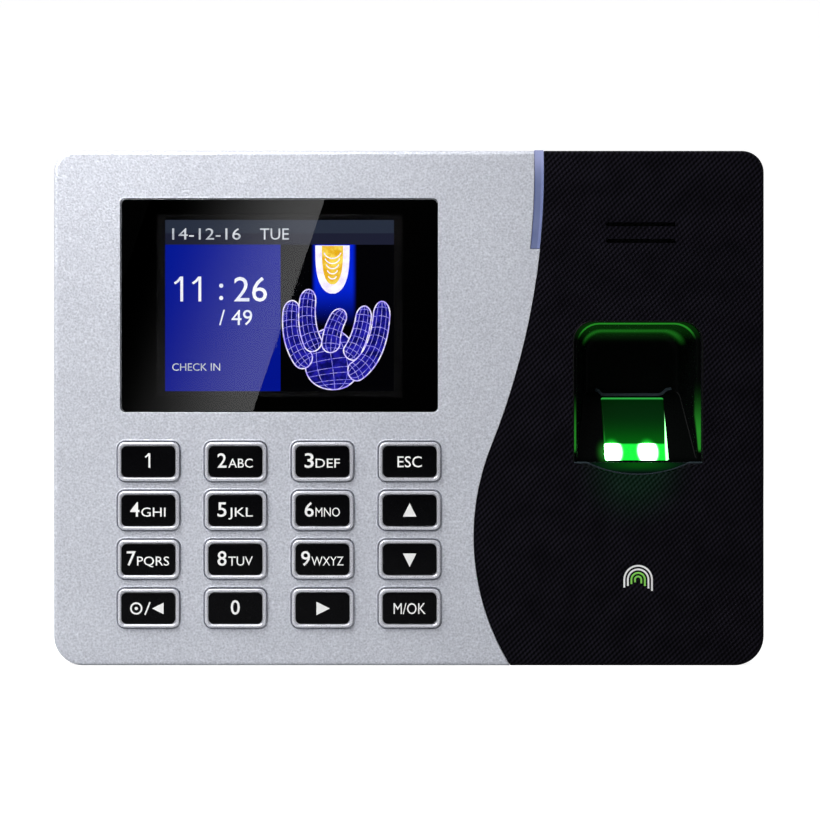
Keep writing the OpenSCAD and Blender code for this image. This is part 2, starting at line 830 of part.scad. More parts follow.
module sensor_screws()
    color("silver") at_glass() for (s = [-1, 1])
        translate([s * ear_x, 0, 0]) {
            bar(1.9, well_wall + ear_t, well_wall + ear_t + 1.3);
            bar(sensor_pilot_r - 0.05, well_wall - 1, well_wall + ear_t);
        }

module sensor_cable()
    color("orange") column(cable_z[0], cable_z[1]) polygon([
        [board_x[1] - 6, board_front - ribbon_t],
        [board_x[1] + 1, board_front - ribbon_t],
        [cable_side_x, cable_end_y],
        [finger_x - 6, cable_end_y],
        [finger_x - 6, cable_end_y + ribbon_t],
        [cable_side_x - 0.2, cable_end_y + ribbon_t],
        [board_x[1] + 0.8, board_front],
        [board_x[1] - 6, board_front]
    ]);

// ---------- Speaker ----------

module speaker()
    color("dimgray") translate([speaker_x, 0, speaker_z]) {
        bar(speaker_r, shelf_back + cloth_t, shelf_back + 2.5);
        bar(speaker_r - 4, shelf_back + 2.5, shelf_back + speaker_t);
    }

module speaker_cloth()
    color("black") translate([speaker_x, 0, speaker_z]) bar(speaker_r, shelf_back, shelf_back + cloth_t);

// ---------- Main board ----------

module main_board()
    color("green") slab(board_front, board_back) difference() {
        translate([board_x[0], board_z[0]])
            square([board_x[1] - board_x[0], board_z[1] - board_z[0]]);
        for (x = board_screw_xs, z = board_screw_zs) translate([x, z]) circle(1.5);
    }

module board_chips()
    color("black") {
        block([-20, board_front - 1.4, 14], [0, board_front, 34]);
        block([8, board_front - 1.1, 20], [20, board_front, 30]);
        block([8, board_front - 1.1, -4], [26, board_front, 6]);
        block([-60, board_front - 1.6, 30], [-50, board_front, 38]);
    }

module coin_cell()
    color("silver") translate([cell_at[0], 0, cell_at[1]])
        bar(cell_r, board_front - cell_lift - cell_t, board_front - cell_lift);

module cell_holder()
    color("black") translate([cell_at[0], 0, cell_at[1]]) difference() {
        bar(cell_r + holder_rim, board_front - holder_t, board_front);
        bar(cell_r + fit, board_front - holder_t - over, board_front - cell_lift);
        block([-thumb_w / 2, board_front - holder_t - over, cell_r - 2],
              [thumb_w / 2, board_front - cell_lift, cell_r + 2]);
    }

module ethernet_jack()
    color("silver") difference() {
        block([jack_x - jack_w / 2, board_back, bay_top],
              [jack_x + jack_w / 2, board_back + jack_h, bay_top + jack_l]);
        block([jack_x - plug_w / 2, board_back + 1.6, bay_top - over],
              [jack_x + plug_w / 2, board_back + 1.6 + plug_h, bay_top + plug_l]);
    }

module terminal_block()
    color("limegreen") difference() {
        block([block_x - block_w / 2, board_back, bay_top],
              [block_x + block_w / 2, board_back + block_h, bay_top + block_l]);
        for (i = [0 : wire_ways - 1])
            translate([block_x + (i - (wire_ways - 1) / 2) * wire_pitch, 0, bay_top]) {
                block([-1.3, board_back + 2, -over], [1.3, board_back + 5.2, 7]);
                translate([0, 0, 6]) bar(1.4, board_back + block_h - 2, board_back + block_h + over);
            }
    }

module power_inlet()
    color("black") {
        difference() {
            block([inlet_x - inlet_w / 2, board_back, bay_top],
                  [inlet_x + inlet_w / 2, board_back + inlet_h, bay_top + inlet_l]);
            translate([inlet_x, board_back + 6, bay_top - over]) cylinder(h = 10, r = inlet_r);
        }
        translate([inlet_x, board_back + 6, bay_top + 1]) cylinder(h = 10, r = inlet_pin_r);
    }

module stick_socket()
    color("silver") translate([-half_w + 0.4, board_back, stick_z]) {
        inner = stick_w / 2 - stick_wall;
        difference() {
            block([0, 0, -stick_w / 2], [stick_l, stick_h, stick_w / 2]);
            block([-over, stick_wall, -inner], [stick_l - 1, stick_h - stick_wall, inner]);
        }
        block([stick_mouth, stick_h / 2, -tongue_half], [stick_l - 0.5, stick_h / 2 + 1.8, tongue_half]);
    }

module ribbon_sockets()
    color("ivory") {
        block([display_x - lcd_ribbon_w / 2 - 1, board_front - socket_t, lcd_socket_z - 1 - lcd_socket_h],
              [display_x + lcd_ribbon_w / 2 + 1, board_front, lcd_socket_z - 1]);
        block([key_ribbon_x[0] - 1, board_front - socket_t, key_socket_z],
              [key_ribbon_x[1] + 1, board_front, key_socket_z + key_socket_h]);
        block([board_x[1] - 11, board_front - socket_t, cable_z[0] - 1],
              [board_x[1] - 6.2, board_front, cable_z[1] + 1]);
    }

module reset_switch()
    color("silver") translate([reset_x, 0, bay_top + bay_top_t + reset_gap]) difference() {
        block([-reset_body[0] / 2, board_back, 0],
              [reset_body[0] / 2, board_back + reset_body[1], reset_body[2]]);
        translate([0, reset_y, -over]) cylinder(h = reset_bore_l + over, r = reset_r + 0.08);
    }

module reset_button()
    color("ivory") translate([reset_x, reset_y, bay_top + bay_top_t + 0.3])
        cylinder(h = reset_gap + reset_bore_l - reset_travel - 0.8, r = reset_r);

module tamper_switch()
    color("black") translate([tamper_x, 0, tamper_z]) difference() {
        block([-3.2, board_back, -3.2], [3.2, board_back + tamper_body_h, 3.2]);
        bar(plunger_r + 0.1, board_back + 1, board_back + tamper_body_h + over);
    }

module tamper_plunger()
    color("red") translate([tamper_x, 0, tamper_z])
        bar(plunger_r, board_back + 1 + plunger_travel + 0.2, -plate_t - 0.03);

module board_screws()
    color("silver") at_board_screws() {
        bar(2.4, board_front - 1.6, board_front);
        bar(board_screw_r, board_front, board_front + board_screw_l);
    }

module case_screws()
    color("silver") at_case_screws() {
        bar(head_r, -head_depth, -head_depth + head_t);
        bar(screw_r, -head_depth - screw_l, -head_depth);
    }

// ---------- Wall fixing ----------

module wall_plate()
    color("lightsteelblue") difference() {
        union() {
            slab(-plate_t, 0) pad(plate_w, plate_h, plate_r);
            block([-tongue_w / 2, -plate_t, tongue_end], [tongue_w / 2, 0, -plate_h / 2 + 1]);
            block([-tongue_w / 2, -tab_d, tongue_end], [tongue_w / 2, -plate_t / 2, tongue_end + plate_t]);
            for (sx = [-1, 1], z = hook_zs) translate([sx * hook_x, 0, z]) {
                block([-hook_w / 2, hook_tip, 0], [hook_w / 2, -plate_t / 2, plate_t]);
                block([-hook_w / 2, hook_tip, 0], [hook_w / 2, hook_tip + plate_t, plate_t + hook_rise]);
            }
        }
        at_wall_screws() bar(hole_d / 2, -plate_t - over, over);
        translate([0, lock_y, tongue_end - over]) cylinder(h = plate_t + 2 * over, r = pilot_r);
    }

module lock_screw()
    color("silver") translate([0, lock_y, lock_head_z]) {
        cylinder(h = head_t - 0.1, r = head_r);
        cylinder(h = lock_l, r = screw_r);
    }

// ---------- Assembly ----------

KEYS = [
    ["key_1", 0, 0], ["key_2", 1, 0], ["key_3", 2, 0], ["key_escape", 3, 0],
    ["key_4", 0, 1], ["key_5", 1, 1], ["key_6", 2, 1], ["key_up", 3, 1],
    ["key_7", 0, 2], ["key_8", 1, 2], ["key_9", 2, 2], ["key_down", 3, 2],
    ["key_power_left", 0, 3], ["key_0", 1, 3], ["key_right", 2, 3], ["key_menu", 3, 3]
];

front_cover();
sensor_panel();
rear_shell();
display_window();
window_tape();
lcd_panel();
lcd_bracket();
lcd_ribbon();
light_pipe();
status_led();
keypad_mat();
keypad_board();
key_domes();
keypad_screws();
keypad_ribbon();
finger_well();
sensor_prism();
sensor_housing();
sensor_leds();
sensor_lens();
sensor_board();
sensor_screws();
sensor_cable();
speaker();
speaker_cloth();
main_board();
board_chips();
coin_cell();
cell_holder();
ethernet_jack();
terminal_block();
power_inlet();
stick_socket();
ribbon_sockets();
reset_switch();
reset_button();
tamper_switch();
tamper_plunger();
board_screws();
case_screws();
wall_plate();
lock_screw();
for (k = KEYS) key_button(k[1], k[2]);
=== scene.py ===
"""Looks of a fingerprint terminal: silver cover, black woven panel, display, keys and a lit finger sensor.

Frame: X to the user's right, Z up, the wall at Y = 0 and the front facing -Y. Lengths are in metres.
"""

import math

import bmesh
import bpy
import numpy as np
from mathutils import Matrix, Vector


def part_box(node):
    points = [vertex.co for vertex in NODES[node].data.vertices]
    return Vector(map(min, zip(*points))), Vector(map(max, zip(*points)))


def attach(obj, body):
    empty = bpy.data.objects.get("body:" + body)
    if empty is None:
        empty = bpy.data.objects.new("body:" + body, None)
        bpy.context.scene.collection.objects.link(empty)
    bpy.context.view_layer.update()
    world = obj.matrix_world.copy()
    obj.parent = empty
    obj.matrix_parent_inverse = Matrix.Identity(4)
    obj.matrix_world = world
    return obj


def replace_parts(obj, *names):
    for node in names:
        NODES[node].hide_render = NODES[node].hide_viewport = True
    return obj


MM = 0.001
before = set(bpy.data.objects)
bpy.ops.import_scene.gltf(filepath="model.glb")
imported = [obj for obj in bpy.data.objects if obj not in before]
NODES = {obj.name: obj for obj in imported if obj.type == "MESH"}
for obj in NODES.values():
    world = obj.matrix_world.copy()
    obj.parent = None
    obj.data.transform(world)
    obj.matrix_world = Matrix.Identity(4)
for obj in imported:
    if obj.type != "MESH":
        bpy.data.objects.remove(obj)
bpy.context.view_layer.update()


# ---------- Places and sizes, read from the frame ----------

def node_box(node):
    """Lowest and highest corner of a CAD node as two arrays."""
    low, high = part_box(node)
    return np.array(low), np.array(high)


FRONT_Y = node_box("sensor_panel")[0][1]
FLOOR_Z = node_box("rear_shell")[0][2]

WINDOW_LOW, WINDOW_HIGH = node_box("display_window")
SCREEN_X = (WINDOW_LOW[0] + WINDOW_HIGH[0]) / 2
SCREEN_Z = (WINDOW_LOW[2] + WINDOW_HIGH[2]) / 2
SCREEN_W = 58.0 * MM
SCREEN_H = 43.4 * MM
SCREEN_Y = node_box("lcd_panel")[0][1] - 0.05 * MM
INK_Y = SCREEN_Y - 0.03 * MM

KEY_FLANGE = 0.95 * MM
KEY_R = 1.8 * MM
KEY_RIM = 0.95 * MM
KEY_GAP = 0.45 * MM
KEY_TOP = FRONT_Y - 0.9 * MM

GLASS_TILT = math.radians(31)
WELL_DEPTH = 13.0 * MM
WALL = 2.2 * MM
WELL_LAP = 3.4 * MM
WELL_LOW, WELL_HIGH = node_box("finger_well")
PRISM_LOW, PRISM_HIGH = node_box("sensor_prism")
FINGER_X = (WELL_LOW[0] + WELL_HIGH[0]) / 2
FINGER_W = WELL_HIGH[0] - WELL_LOW[0] - 2 * WELL_LAP
FINGER_TOP = WELL_HIGH[2] - WELL_LAP
FINGER_R = 5.0 * MM
GLASS_W = PRISM_HIGH[0] - PRISM_LOW[0]
GLASS_L = 18.6 * MM
GLASS_PROUD = 0.5 * MM
GLASS_FOOT = GLASS_PROUD * math.cos(GLASS_TILT) + GLASS_L / 2 * math.sin(GLASS_TILT)
GLASS_HEAD = GLASS_PROUD * math.sin(GLASS_TILT) + GLASS_L / 2 * math.cos(GLASS_TILT)
GLASS_AT = np.array([FINGER_X, PRISM_LOW[1] + GLASS_FOOT, PRISM_HIGH[2] - GLASS_HEAD])
SLOPE_L = 19.4 * MM
GLASS_LOW_Z = GLASS_AT[2] - SLOPE_L / 2 * math.cos(GLASS_TILT)
WELL_DRAFT = 3.4 * MM
CEILING_DROP = 1.9 * MM
MOUTH_R = FINGER_R + 1.2 * MM
LIP_SAG = 2.9 * MM
LIP_HALF = 12.7 * MM

SEAM_R = 187.7 * MM
SEAM_CENTRE = (-153.4 * MM, 0.0, 60.2 * MM)
PIPE_W = 2.45 * MM


# ---------- Shader helpers ----------

def tone(red, green, blue):
    """Linear colour of a screen colour given as 0 to 255."""
    share = np.array([red, green, blue]) / 255.0
    linear = np.where(share <= 0.04045, share / 12.92, ((share + 0.055) / 1.055) ** 2.4)
    return (*[float(v) for v in linear], 1.0)


def put(tree, kind, values=(), **settings):
    """Adds a node, applies its settings and fills or links its inputs by name or number."""
    node = tree.nodes.new(kind)
    for name, value in settings.items():
        setattr(node, name, value)
    for name, value in dict(values).items():
        if isinstance(value, bpy.types.NodeSocket):
            tree.links.new(value, node.inputs[name])
        else:
            node.inputs[name].default_value = value
    return node


def calc(tree, operation, *values):
    """One Math node on the given values."""
    return put(tree, "ShaderNodeMath", enumerate(values), operation=operation).outputs[0]


def times(tree, *values):
    """Product of the given values."""
    result = values[0]
    for value in values[1:]:
        result = calc(tree, "MULTIPLY", result, value)
    return result


def plus(tree, value, factor, extra):
    """value times factor, plus extra."""
    return calc(tree, "MULTIPLY_ADD", value, factor, extra)


def radius_of(tree, across, upward):
    """Length of the flat vector (across, upward)."""
    square = calc(tree, "ADD", times(tree, across, across), times(tree, upward, upward))
    return calc(tree, "SQRT", square)


def mix(tree, share, low, high):
    """Colour between low and high."""
    return put(tree, "ShaderNodeMix", {0: share, 6: low, 7: high}, data_type="RGBA").outputs[2]


def ease(tree, value, start, end):
    """0 below start, 1 above end and smooth between them; start may be the larger."""
    values = {"Value": value, "From Min": start, "From Max": end}
    return put(tree, "ShaderNodeMapRange", values, interpolation_type="SMOOTHSTEP").outputs[0]


def place(tree, location=(0, 0, 0), rotation=(0, 0, 0)):
    """Object coordinates measured from location and turned back by rotation, split into X, Y and Z."""
    raw = put(tree, "ShaderNodeTexCoord").outputs["Object"]
    values = {"Vector": raw, "Location": location, "Rotation": rotation}
    vector = put(tree, "ShaderNodeMapping", values, vector_type="TEXTURE").outputs[0]
    parts = put(tree, "ShaderNodeSeparateXYZ", {0: vector}).outputs
    return vector, parts[0], parts[1], parts[2]


def group(name, inputs, outputs):
    """An empty shader group with float or vector inputs and float outputs."""
    tree = bpy.data.node_groups.new(name, "ShaderNodeTree")
    for label, value in inputs.items():
        kind = "NodeSocketVector" if value is None else "NodeSocketFloat"
        socket = tree.interface.new_socket(name=label, in_out="INPUT", socket_type=kind)
        if value is not None:
            socket.default_value = value
    for label in outputs:
        tree.interface.new_socket(name=label, in_out="OUTPUT", socket_type="NodeSocketFloat")
    return tree, tree.nodes.new("NodeGroupInput").outputs, tree.nodes.new("NodeGroupOutput").inputs


def grain_group():
    """Paint and moulding grain: fine specks over softer pebbles, with slow blotches for the tint."""
    tree, given, result = group("grain", {"Vector": None, "Size": 0.0005}, ["Height", "Tint"])
    scale = calc(tree, "DIVIDE", 1.0, given["Size"])
    specks = put(tree, "ShaderNodeTexNoise", {"Vector": given["Vector"], "Scale": scale, "Detail": 3.0})
    cells = {"Vector": given["Vector"], "Scale": scale}
    pebbles = put(tree, "ShaderNodeTexVoronoi", cells, feature="SMOOTH_F1")
    blotch = put(tree, "ShaderNodeTexNoise", {"Vector": given["Vector"], "Scale": 60.0, "Detail": 2.0})
    height = plus(tree, pebbles.outputs["Distance"], 0.5, specks.outputs["Fac"])
    tint = plus(tree, blotch.outputs["Fac"], 0.1, times(tree, height, 0.72))
    tree.links.new(height, result["Height"])
    tree.links.new(tint, result["Tint"])
    return tree


def twill_group():
    """Woven twill that wraps round the sides: ribs that rise to the right, cut into stitches by a
    finer cross grain."""
    tree, given, result = group("twill", {"Vector": None, "Pitch": 0.001}, ["Height", "Thread"])
    x, y, z = put(tree, "ShaderNodeSeparateXYZ", {0: given["Vector"]}).outputs
    turn = calc(tree, "DIVIDE", 2 * math.pi, given["Pitch"])
    across = times(tree, calc(tree, "ADD", calc(tree, "SUBTRACT", x, z), y), turn)
    along = times(tree, calc(tree, "ADD", x, z), turn)
    rib = calc(tree, "SINE", times(tree, across, 0.7071))
    stitch = calc(tree, "SINE", plus(tree, along, 0.7071, times(tree, across, 0.35)))
    woven = plus(tree, rib, 0.36, plus(tree, stitch, 0.14, 0.5))
    patch = put(tree, "ShaderNodeTexNoise", {"Vector": given["Vector"], "Scale": 140.0}).outputs["Fac"]
    thread = times(tree, woven, plus(tree, patch, 0.9, 0.5))
    tree.links.new(woven, result["Height"])
    tree.links.new(thread, result["Thread"])
    return tree


def dust_group():
    """Dust that settles on what faces up, broken into specks."""
    tree, given, result = group("dust", {"Vector": None, "Amount": 0.2}, ["Mask"])
    normal = put(tree, "ShaderNodeNewGeometry").outputs["Normal"]
    up = put(tree, "ShaderNodeSeparateXYZ", {0: normal}).outputs[2]
    specks = put(tree, "ShaderNodeTexNoise", {"Vector": given["Vector"], "Scale": 2600.0, "Detail": 4.0})
    broken = ease(tree, specks.outputs["Fac"], 0.3, 0.9)
    facing = ease(tree, up, 0.35, 1.0)
    mask = times(tree, times(tree, facing, broken), given["Amount"])
    tree.links.new(mask, result["Mask"])
    return tree


def brushed_group():
    """Fine lines along X, as on rolled or brushed metal."""
    tree, given, result = group("brushed", {"Vector": None, "Size": 0.0002}, ["Line"])
    x, y, z = put(tree, "ShaderNodeSeparateXYZ", {0: given["Vector"]}).outputs
    squeezed = put(tree, "ShaderNodeCombineXYZ", {0: times(tree, x, 0.03), 1: y, 2: z}).outputs[0]
    scale = calc(tree, "DIVIDE", 1.0, given["Size"])
    lines = put(tree, "ShaderNodeTexNoise", {"Vector": squeezed, "Scale": scale, "Detail": 3.0})
    tree.links.new(lines.outputs["Fac"], result["Line"])
    return tree


GRAIN = grain_group()
TWILL = twill_group()
DUST = dust_group()
BRUSHED = brushed_group()


def use(tree, which, vector, **values):
    """Places one of the shared groups."""
    node = put(tree, "ShaderNodeGroup", node_tree=which)
    tree.links.new(vector, node.inputs["Vector"])
    for name, value in values.items():
        node.inputs[name].default_value = value
    return node.outputs


def fresh(name, **constants):
    """A new material with its Principled shader set: name of a socket = value."""
    material = bpy.data.materials.new(name)
    material.use_nodes = True
    shader = material.node_tree.nodes["Principled BSDF"]
    for socket, value in constants.items():
        shader.inputs[socket.replace("_", " ")].default_value = value
    return material, material.node_tree, shader.inputs


def bump(tree, shader, height, strength, distance):
    """Feeds a height to the shader's normal."""
    values = {"Height": height, "Strength": strength, "Distance": distance}
    tree.links.new(put(tree, "ShaderNodeBump", values).outputs[0], shader["Normal"])


def grained(name, low, high, size, depth, rough=(0.4, 0.55), dust=0.06, **constants):
    """A moulded or painted finish: colour, roughness and relief from the grain, with dust on top."""
    material, tree, shader = fresh(name, **constants)
    vector = place(tree)[0]
    grain = use(tree, GRAIN, vector, Size=size)
    mask = use(tree, DUST, vector, Amount=dust)["Mask"]
    colour = mix(tree, grain["Tint"], low, high)
    tree.links.new(mix(tree, mask, colour, tone(176, 172, 164)), shader["Base Color"])
    gloss = plus(tree, grain["Tint"], rough[1] - rough[0], rough[0])
    tree.links.new(plus(tree, mask, 0.3, gloss), shader["Roughness"])
    bump(tree, shader, grain["Height"], 0.6, depth)
    return material


def brushed(name, low, high, size, rough):
    """Bare metal with fine lines."""
    material, tree, shader = fresh(name, Metallic=1.0)
    line = use(tree, BRUSHED, place(tree)[0], Size=size)["Line"]
    tree.links.new(mix(tree, line, low, high), shader["Base Color"])
    tree.links.new(plus(tree, line, 0.2, rough), shader["Roughness"])
    bump(tree, shader, line, 0.25, 0.00002)
    return material


def black_twill():
    """The black panel's woven finish under a thin satin lacquer, with a painted green glow of the finger
    lamps round the opening's lower edge.
    """
    material, tree, shader = fresh("black_twill", Specular_IOR_Level=0.03, Emission_Strength=1.0)
    vector = place(tree)[0]
    twill = use(tree, TWILL, vector, Pitch=1.0 * MM)
    mask = use(tree, DUST, vector, Amount=0.04)["Mask"]
    colour = mix(tree, calc(tree, "POWER", twill["Thread"], 1.5), tone(0, 0, 1), tone(28, 26, 34))
    tree.links.new(mix(tree, mask, colour, tone(120, 118, 114)), shader["Base Color"])
    tree.links.new(plus(tree, twill["Thread"], -0.2, 0.55), shader["Roughness"])
    bump(tree, shader, twill["Height"], 0.5, 0.00004)
    # Painted light: the lamps' green glow on the panel, fading out from just below the finger opening.
    _, x, _, z = place(tree, (FINGER_X - 1.0 * MM, 0.0, GLASS_LOW_Z - 2.0 * MM))
    painted_green_glow = calc(tree, "POWER", ease(tree, radius_of(tree, x, z), 19.0 * MM, 3.0 * MM), 2.0)
    painted_green_glow = times(tree, painted_green_glow, plus(tree, twill["Thread"], 0.8, 0.3))
    tree.links.new(mix(tree, painted_green_glow, (0, 0, 0, 1), tone(0, 30, 10)), shader["Emission Color"])
    return material


def screen_glow():
    """Display picture: a two-tone bar over a blue field on the left and a black field with a blue beam."""
    material, tree, shader = fresh("screen_glow", Roughness=0.6, Specular_IOR_Level=0.0,
                                   Base_Color=(0.0, 0.0, 0.0, 1.0))
    _, x, _, z = place(tree, (SCREEN_X - SCREEN_W / 2, 0.0, SCREEN_Z - SCREEN_H / 2))
    bar_low = SCREEN_H - 6.2 * MM
    field_right = 29.2 * MM
    is_bar = calc(tree, "GREATER_THAN", z, bar_low)
    is_top = calc(tree, "GREATER_THAN", z, SCREEN_H - 3.3 * MM)
    is_left = calc(tree, "LESS_THAN", x, field_right)
    beam = times(tree, ease(tree, x, 37.0 * MM, 38.4 * MM), ease(tree, x, 48.6 * MM, 47.2 * MM))
    beam = times(tree, beam, ease(tree, z, 16.0 * MM, 29.0 * MM))
    shade = ease(tree, z, 0.0, SCREEN_H)
    blue = mix(tree, shade, tone(1, 20, 148), tone(3, 26, 158))
    right = mix(tree, beam, tone(0, 0, 2), tone(2, 40, 235))
    field = mix(tree, is_left, right, blue)
    bar = mix(tree, is_top, tone(31, 34, 54), tone(43, 51, 68))
    picture = mix(tree, is_bar, field, bar)
    columns = calc(tree, "SINE", times(tree, x, 2 * math.pi / (0.181 * MM)))
    rows = calc(tree, "SINE", times(tree, z, 2 * math.pi / (0.181 * MM)))
    cell = plus(tree, calc(tree, "ADD", columns, rows), 0.04, 0.92)
    tree.links.new(mix(tree, cell, (0, 0, 0, 1), picture), shader["Emission Color"])
    shader["Emission Strength"].default_value = 1.0
    return material


def glow_ink(name, low, high, strength, spread=0.004):
    """Lit marks on the display, slightly uneven like real liquid-crystal cells."""
    material, tree, shader = fresh(name, Roughness=0.6, Specular_IOR_Level=0.0, Emission_Strength=strength)
    noise = put(tree, "ShaderNodeTexNoise", {"Vector": place(tree)[0], "Scale": 1 / spread, "Detail": 2.0})
    colour = mix(tree, ease(tree, noise.outputs["Fac"], 0.3, 0.7), low, high)
    tree.links.new(colour, shader["Emission Color"])
    tree.links.new(mix(tree, 0.9, colour, (0, 0, 0, 1)), shader["Base Color"])
    return material


def window_glass():
    """Clear hard-coated front window with a trace of smears in its gloss."""
    material, tree, shader = fresh("window_glass", Transmission_Weight=1.0, IOR=1.5)
    shader["Base Color"].default_value = (1.0, 1.0, 1.0, 1.0)
    smear = put(tree, "ShaderNodeTexNoise", {"Vector": place(tree)[0], "Scale": 45.0, "Detail": 3.0})
    tree.links.new(times(tree, ease(tree, smear.outputs["Fac"], 0.45, 0.75), 0.02), shader["Roughness"])
    return material


def pipe_plastic():
    """Smoky violet light pipe: a deep stripe beside the silver and a paler one beside the black panel."""
    material, tree, shader = fresh("pipe_plastic", Roughness=0.22, Emission_Strength=0.12)
    _, x, _, z = place(tree, SEAM_CENTRE)
    radius = radius_of(tree, x, z)
    side = ease(tree, radius, SEAM_R - PIPE_W * 0.38, SEAM_R - PIPE_W * 0.28)
    edge = ease(tree, radius, SEAM_R - PIPE_W * 0.8, SEAM_R - PIPE_W)
    top = ease(tree, z, -4.0 * MM, 5.0 * MM)
    colour = mix(tree, side, tone(88, 98, 134), tone(106, 116, 160))
    colour = mix(tree, times(tree, edge, 0.6), colour, tone(60, 68, 110))
    colour = mix(tree, times(tree, top, 0.6), colour, tone(166, 172, 214))
    haze = put(tree, "ShaderNodeTexNoise", {"Vector": place(tree)[0], "Scale": 300.0}).outputs["Fac"]
    colour = mix(tree, times(tree, haze, 0.12), colour, tone(190, 196, 230))
    tree.links.new(colour, shader["Base Color"])
    tree.links.new(colour, shader["Emission Color"])
    return material


def glass_glow():
    """Lit sensor glass in its own tilted plane: a deep green that brightens downwards, two white
    lamps near the lower edge, and edges that carry the light."""
    material, tree, shader = fresh("glass_glow", Roughness=0.15, Specular_IOR_Level=0.03,
                                   Base_Color=(0.0, 0.01, 0.002, 1.0))
    vector, x, _, z = place(tree, tuple(GLASS_AT), (-GLASS_TILT, 0.0, 0.0))
    half_w = GLASS_W / 2
    half_l = GLASS_L / 2
    rise = ease(tree, z, half_l, -half_l)
    green = mix(tree, calc(tree, "POWER", rise, 2.6), tone(0, 20, 1), tone(1, 98, 5))
    strip = ease(tree, z, -half_l + 4.9 * MM, -half_l + 4.3 * MM)
    green = mix(tree, strip, green, (0.01, 0.85, 0.05, 1.0))
    lamp_z = -half_l + 2.4 * MM
    glow = None
    for lamp_x in (-6.2 * MM, 2.9 * MM):
        dx = calc(tree, "DIVIDE", calc(tree, "SUBTRACT", x, lamp_x), 2.6 * MM)
        dz = calc(tree, "DIVIDE", calc(tree, "SUBTRACT", z, lamp_z), 3.9 * MM)
        spot = calc(tree, "POWER", ease(tree, radius_of(tree, dx, dz), 1.3, 0.45), 2.5)
        glow = spot if glow is None else calc(tree, "MAXIMUM", glow, spot)
    halo = mix(tree, times(tree, glow, 0.8), green, (0.02, 1.2, 0.06, 1.0))
    white = mix(tree, times(tree, glow, strip), halo, (14.0, 60.0, 18.0, 1.0))
    head = ease(tree, z, half_l - 0.9 * MM, half_l - 0.3 * MM)
    low = ease(tree, z, half_l - 3.5 * MM, -half_l)
    right = ease(tree, plus(tree, low, 0.75 * MM, x), half_w - 0.2 * MM, half_w + 0.1 * MM)
    left = ease(tree, x, -half_w + 0.6 * MM, -half_w + 0.2 * MM)
    right = times(tree, right, ease(tree, z, half_l - 3.5 * MM, half_l - 9.0 * MM))
    lit = mix(tree, times(tree, head, 0.9), white, (0.03, 0.42, 0.06, 1.0))
    lit = mix(tree, right, lit, (0.9, 3.4, 1.1, 1.0))
    left = times(tree, left, ease(tree, z, 0.0, -half_l + 4.0 * MM))
    lit = mix(tree, times(tree, left, 0.3), lit, tone(20, 200, 50))
    noise = put(tree, "ShaderNodeTexNoise", {"Vector": vector, "Scale": 2500.0}).outputs["Fac"]
    lit = mix(tree, times(tree, noise, 0.25), lit, (0.0, 0.02, 0.0, 1.0))
    tree.links.new(lit, shader["Emission Color"])
    shader["Emission Strength"].default_value = 1.3
    return material


def smoked(name, origin_z, high, rough, gloss):
    """Smoked black plastic round the finger opening, with its emission turned on for the painted green light
    that the callers add. Gives the material, its tree and shader, and X, depth and Z from the opening's
    middle on the front at origin_z."""
    material, tree, shader = fresh(name, Specular_IOR_Level=gloss, Emission_Strength=1.0)
    vector, x, depth, z = place(tree, (FINGER_X, FRONT_Y, origin_z))
    grain = use(tree, GRAIN, vector, Size=0.4 * MM)
    tree.links.new(mix(tree, grain["Tint"], tone(1, 2, 2), high), shader["Base Color"])
    tree.links.new(plus(tree, grain["Tint"], 0.1, rough), shader["Roughness"])
    bump(tree, shader, grain["Height"], 0.5, 0.000004)
    return material, tree, shader, x, depth, z


def well_black():
    """Smoked black of the finger recess, with painted green light from the lamps in its emission: painted
    highlights along the lip's top and the ceiling behind it, up the lip's left side and in a wedge on the
    right wall, and a painted glow beside the lamps."""
    material, tree, shader, x, depth, z = smoked("well_black", FINGER_TOP, tone(5, 7, 6), 0.22, 0.02)
    half = FINGER_W / 2
    lip = times(tree, ease(tree, depth, 3.0 * MM, 2.6 * MM), ease(tree, depth, 2.25 * MM, 2.34 * MM),
                ease(tree, z, -4.6 * MM, -1.2 * MM))
    behind = times(tree, ease(tree, depth, 7.2 * MM, 10.0 * MM), ease(tree, depth, 12.6 * MM, 10.4 * MM),
                   ease(tree, z, -6.0 * MM, -2.6 * MM))
    ceiling = ease(tree, z, -5.0 * MM, -1.0 * MM)
    left = times(tree, ease(tree, x, -half + 0.95 * MM, -half + 0.6 * MM),
                 ease(tree, depth, 3.2 * MM, 2.8 * MM), ease(tree, z, -18.0 * MM, -29.0 * MM),
                 ease(tree, z, -33.6 * MM, -32.0 * MM))
    drop = calc(tree, "MAXIMUM", calc(tree, "SUBTRACT", -23.7 * MM, z), 0.0)
    edge = plus(tree, drop, -0.085, x)
    right = times(tree, ease(tree, edge, half - 1.6 * MM, half - 1.2 * MM),
                  calc(tree, "POWER", ease(tree, z, -13.0 * MM, -30.0 * MM), 2.0),
                  ease(tree, z, -33.4 * MM, -32.0 * MM))
    across = calc(tree, "DIVIDE", calc(tree, "ADD", x, GLASS_W / 2), 3.0 * MM)
    upward = calc(tree, "DIVIDE", calc(tree, "SUBTRACT", z, GLASS_LOW_Z - FINGER_TOP + 2.4 * MM), 4.5 * MM)
    beside = calc(tree, "POWER", ease(tree, radius_of(tree, across, upward), 1.0, 0.0), 2.0)
    # Painted light: the masks above mark where the lamps' green shows as highlights and glow; their sum is
    # painted into the emission.
    share = times(tree, lip, 0.9)
    for part, strength in ((behind, 0.42), (ceiling, 0.09), (left, 0.9), (right, 1.1), (beside, 0.8)):
        share = plus(tree, part, strength, share)
    tree.links.new(mix(tree, share, (0, 0, 0, 1), (0.018, 0.24, 0.018, 1)), shader["Emission Color"])
    return material


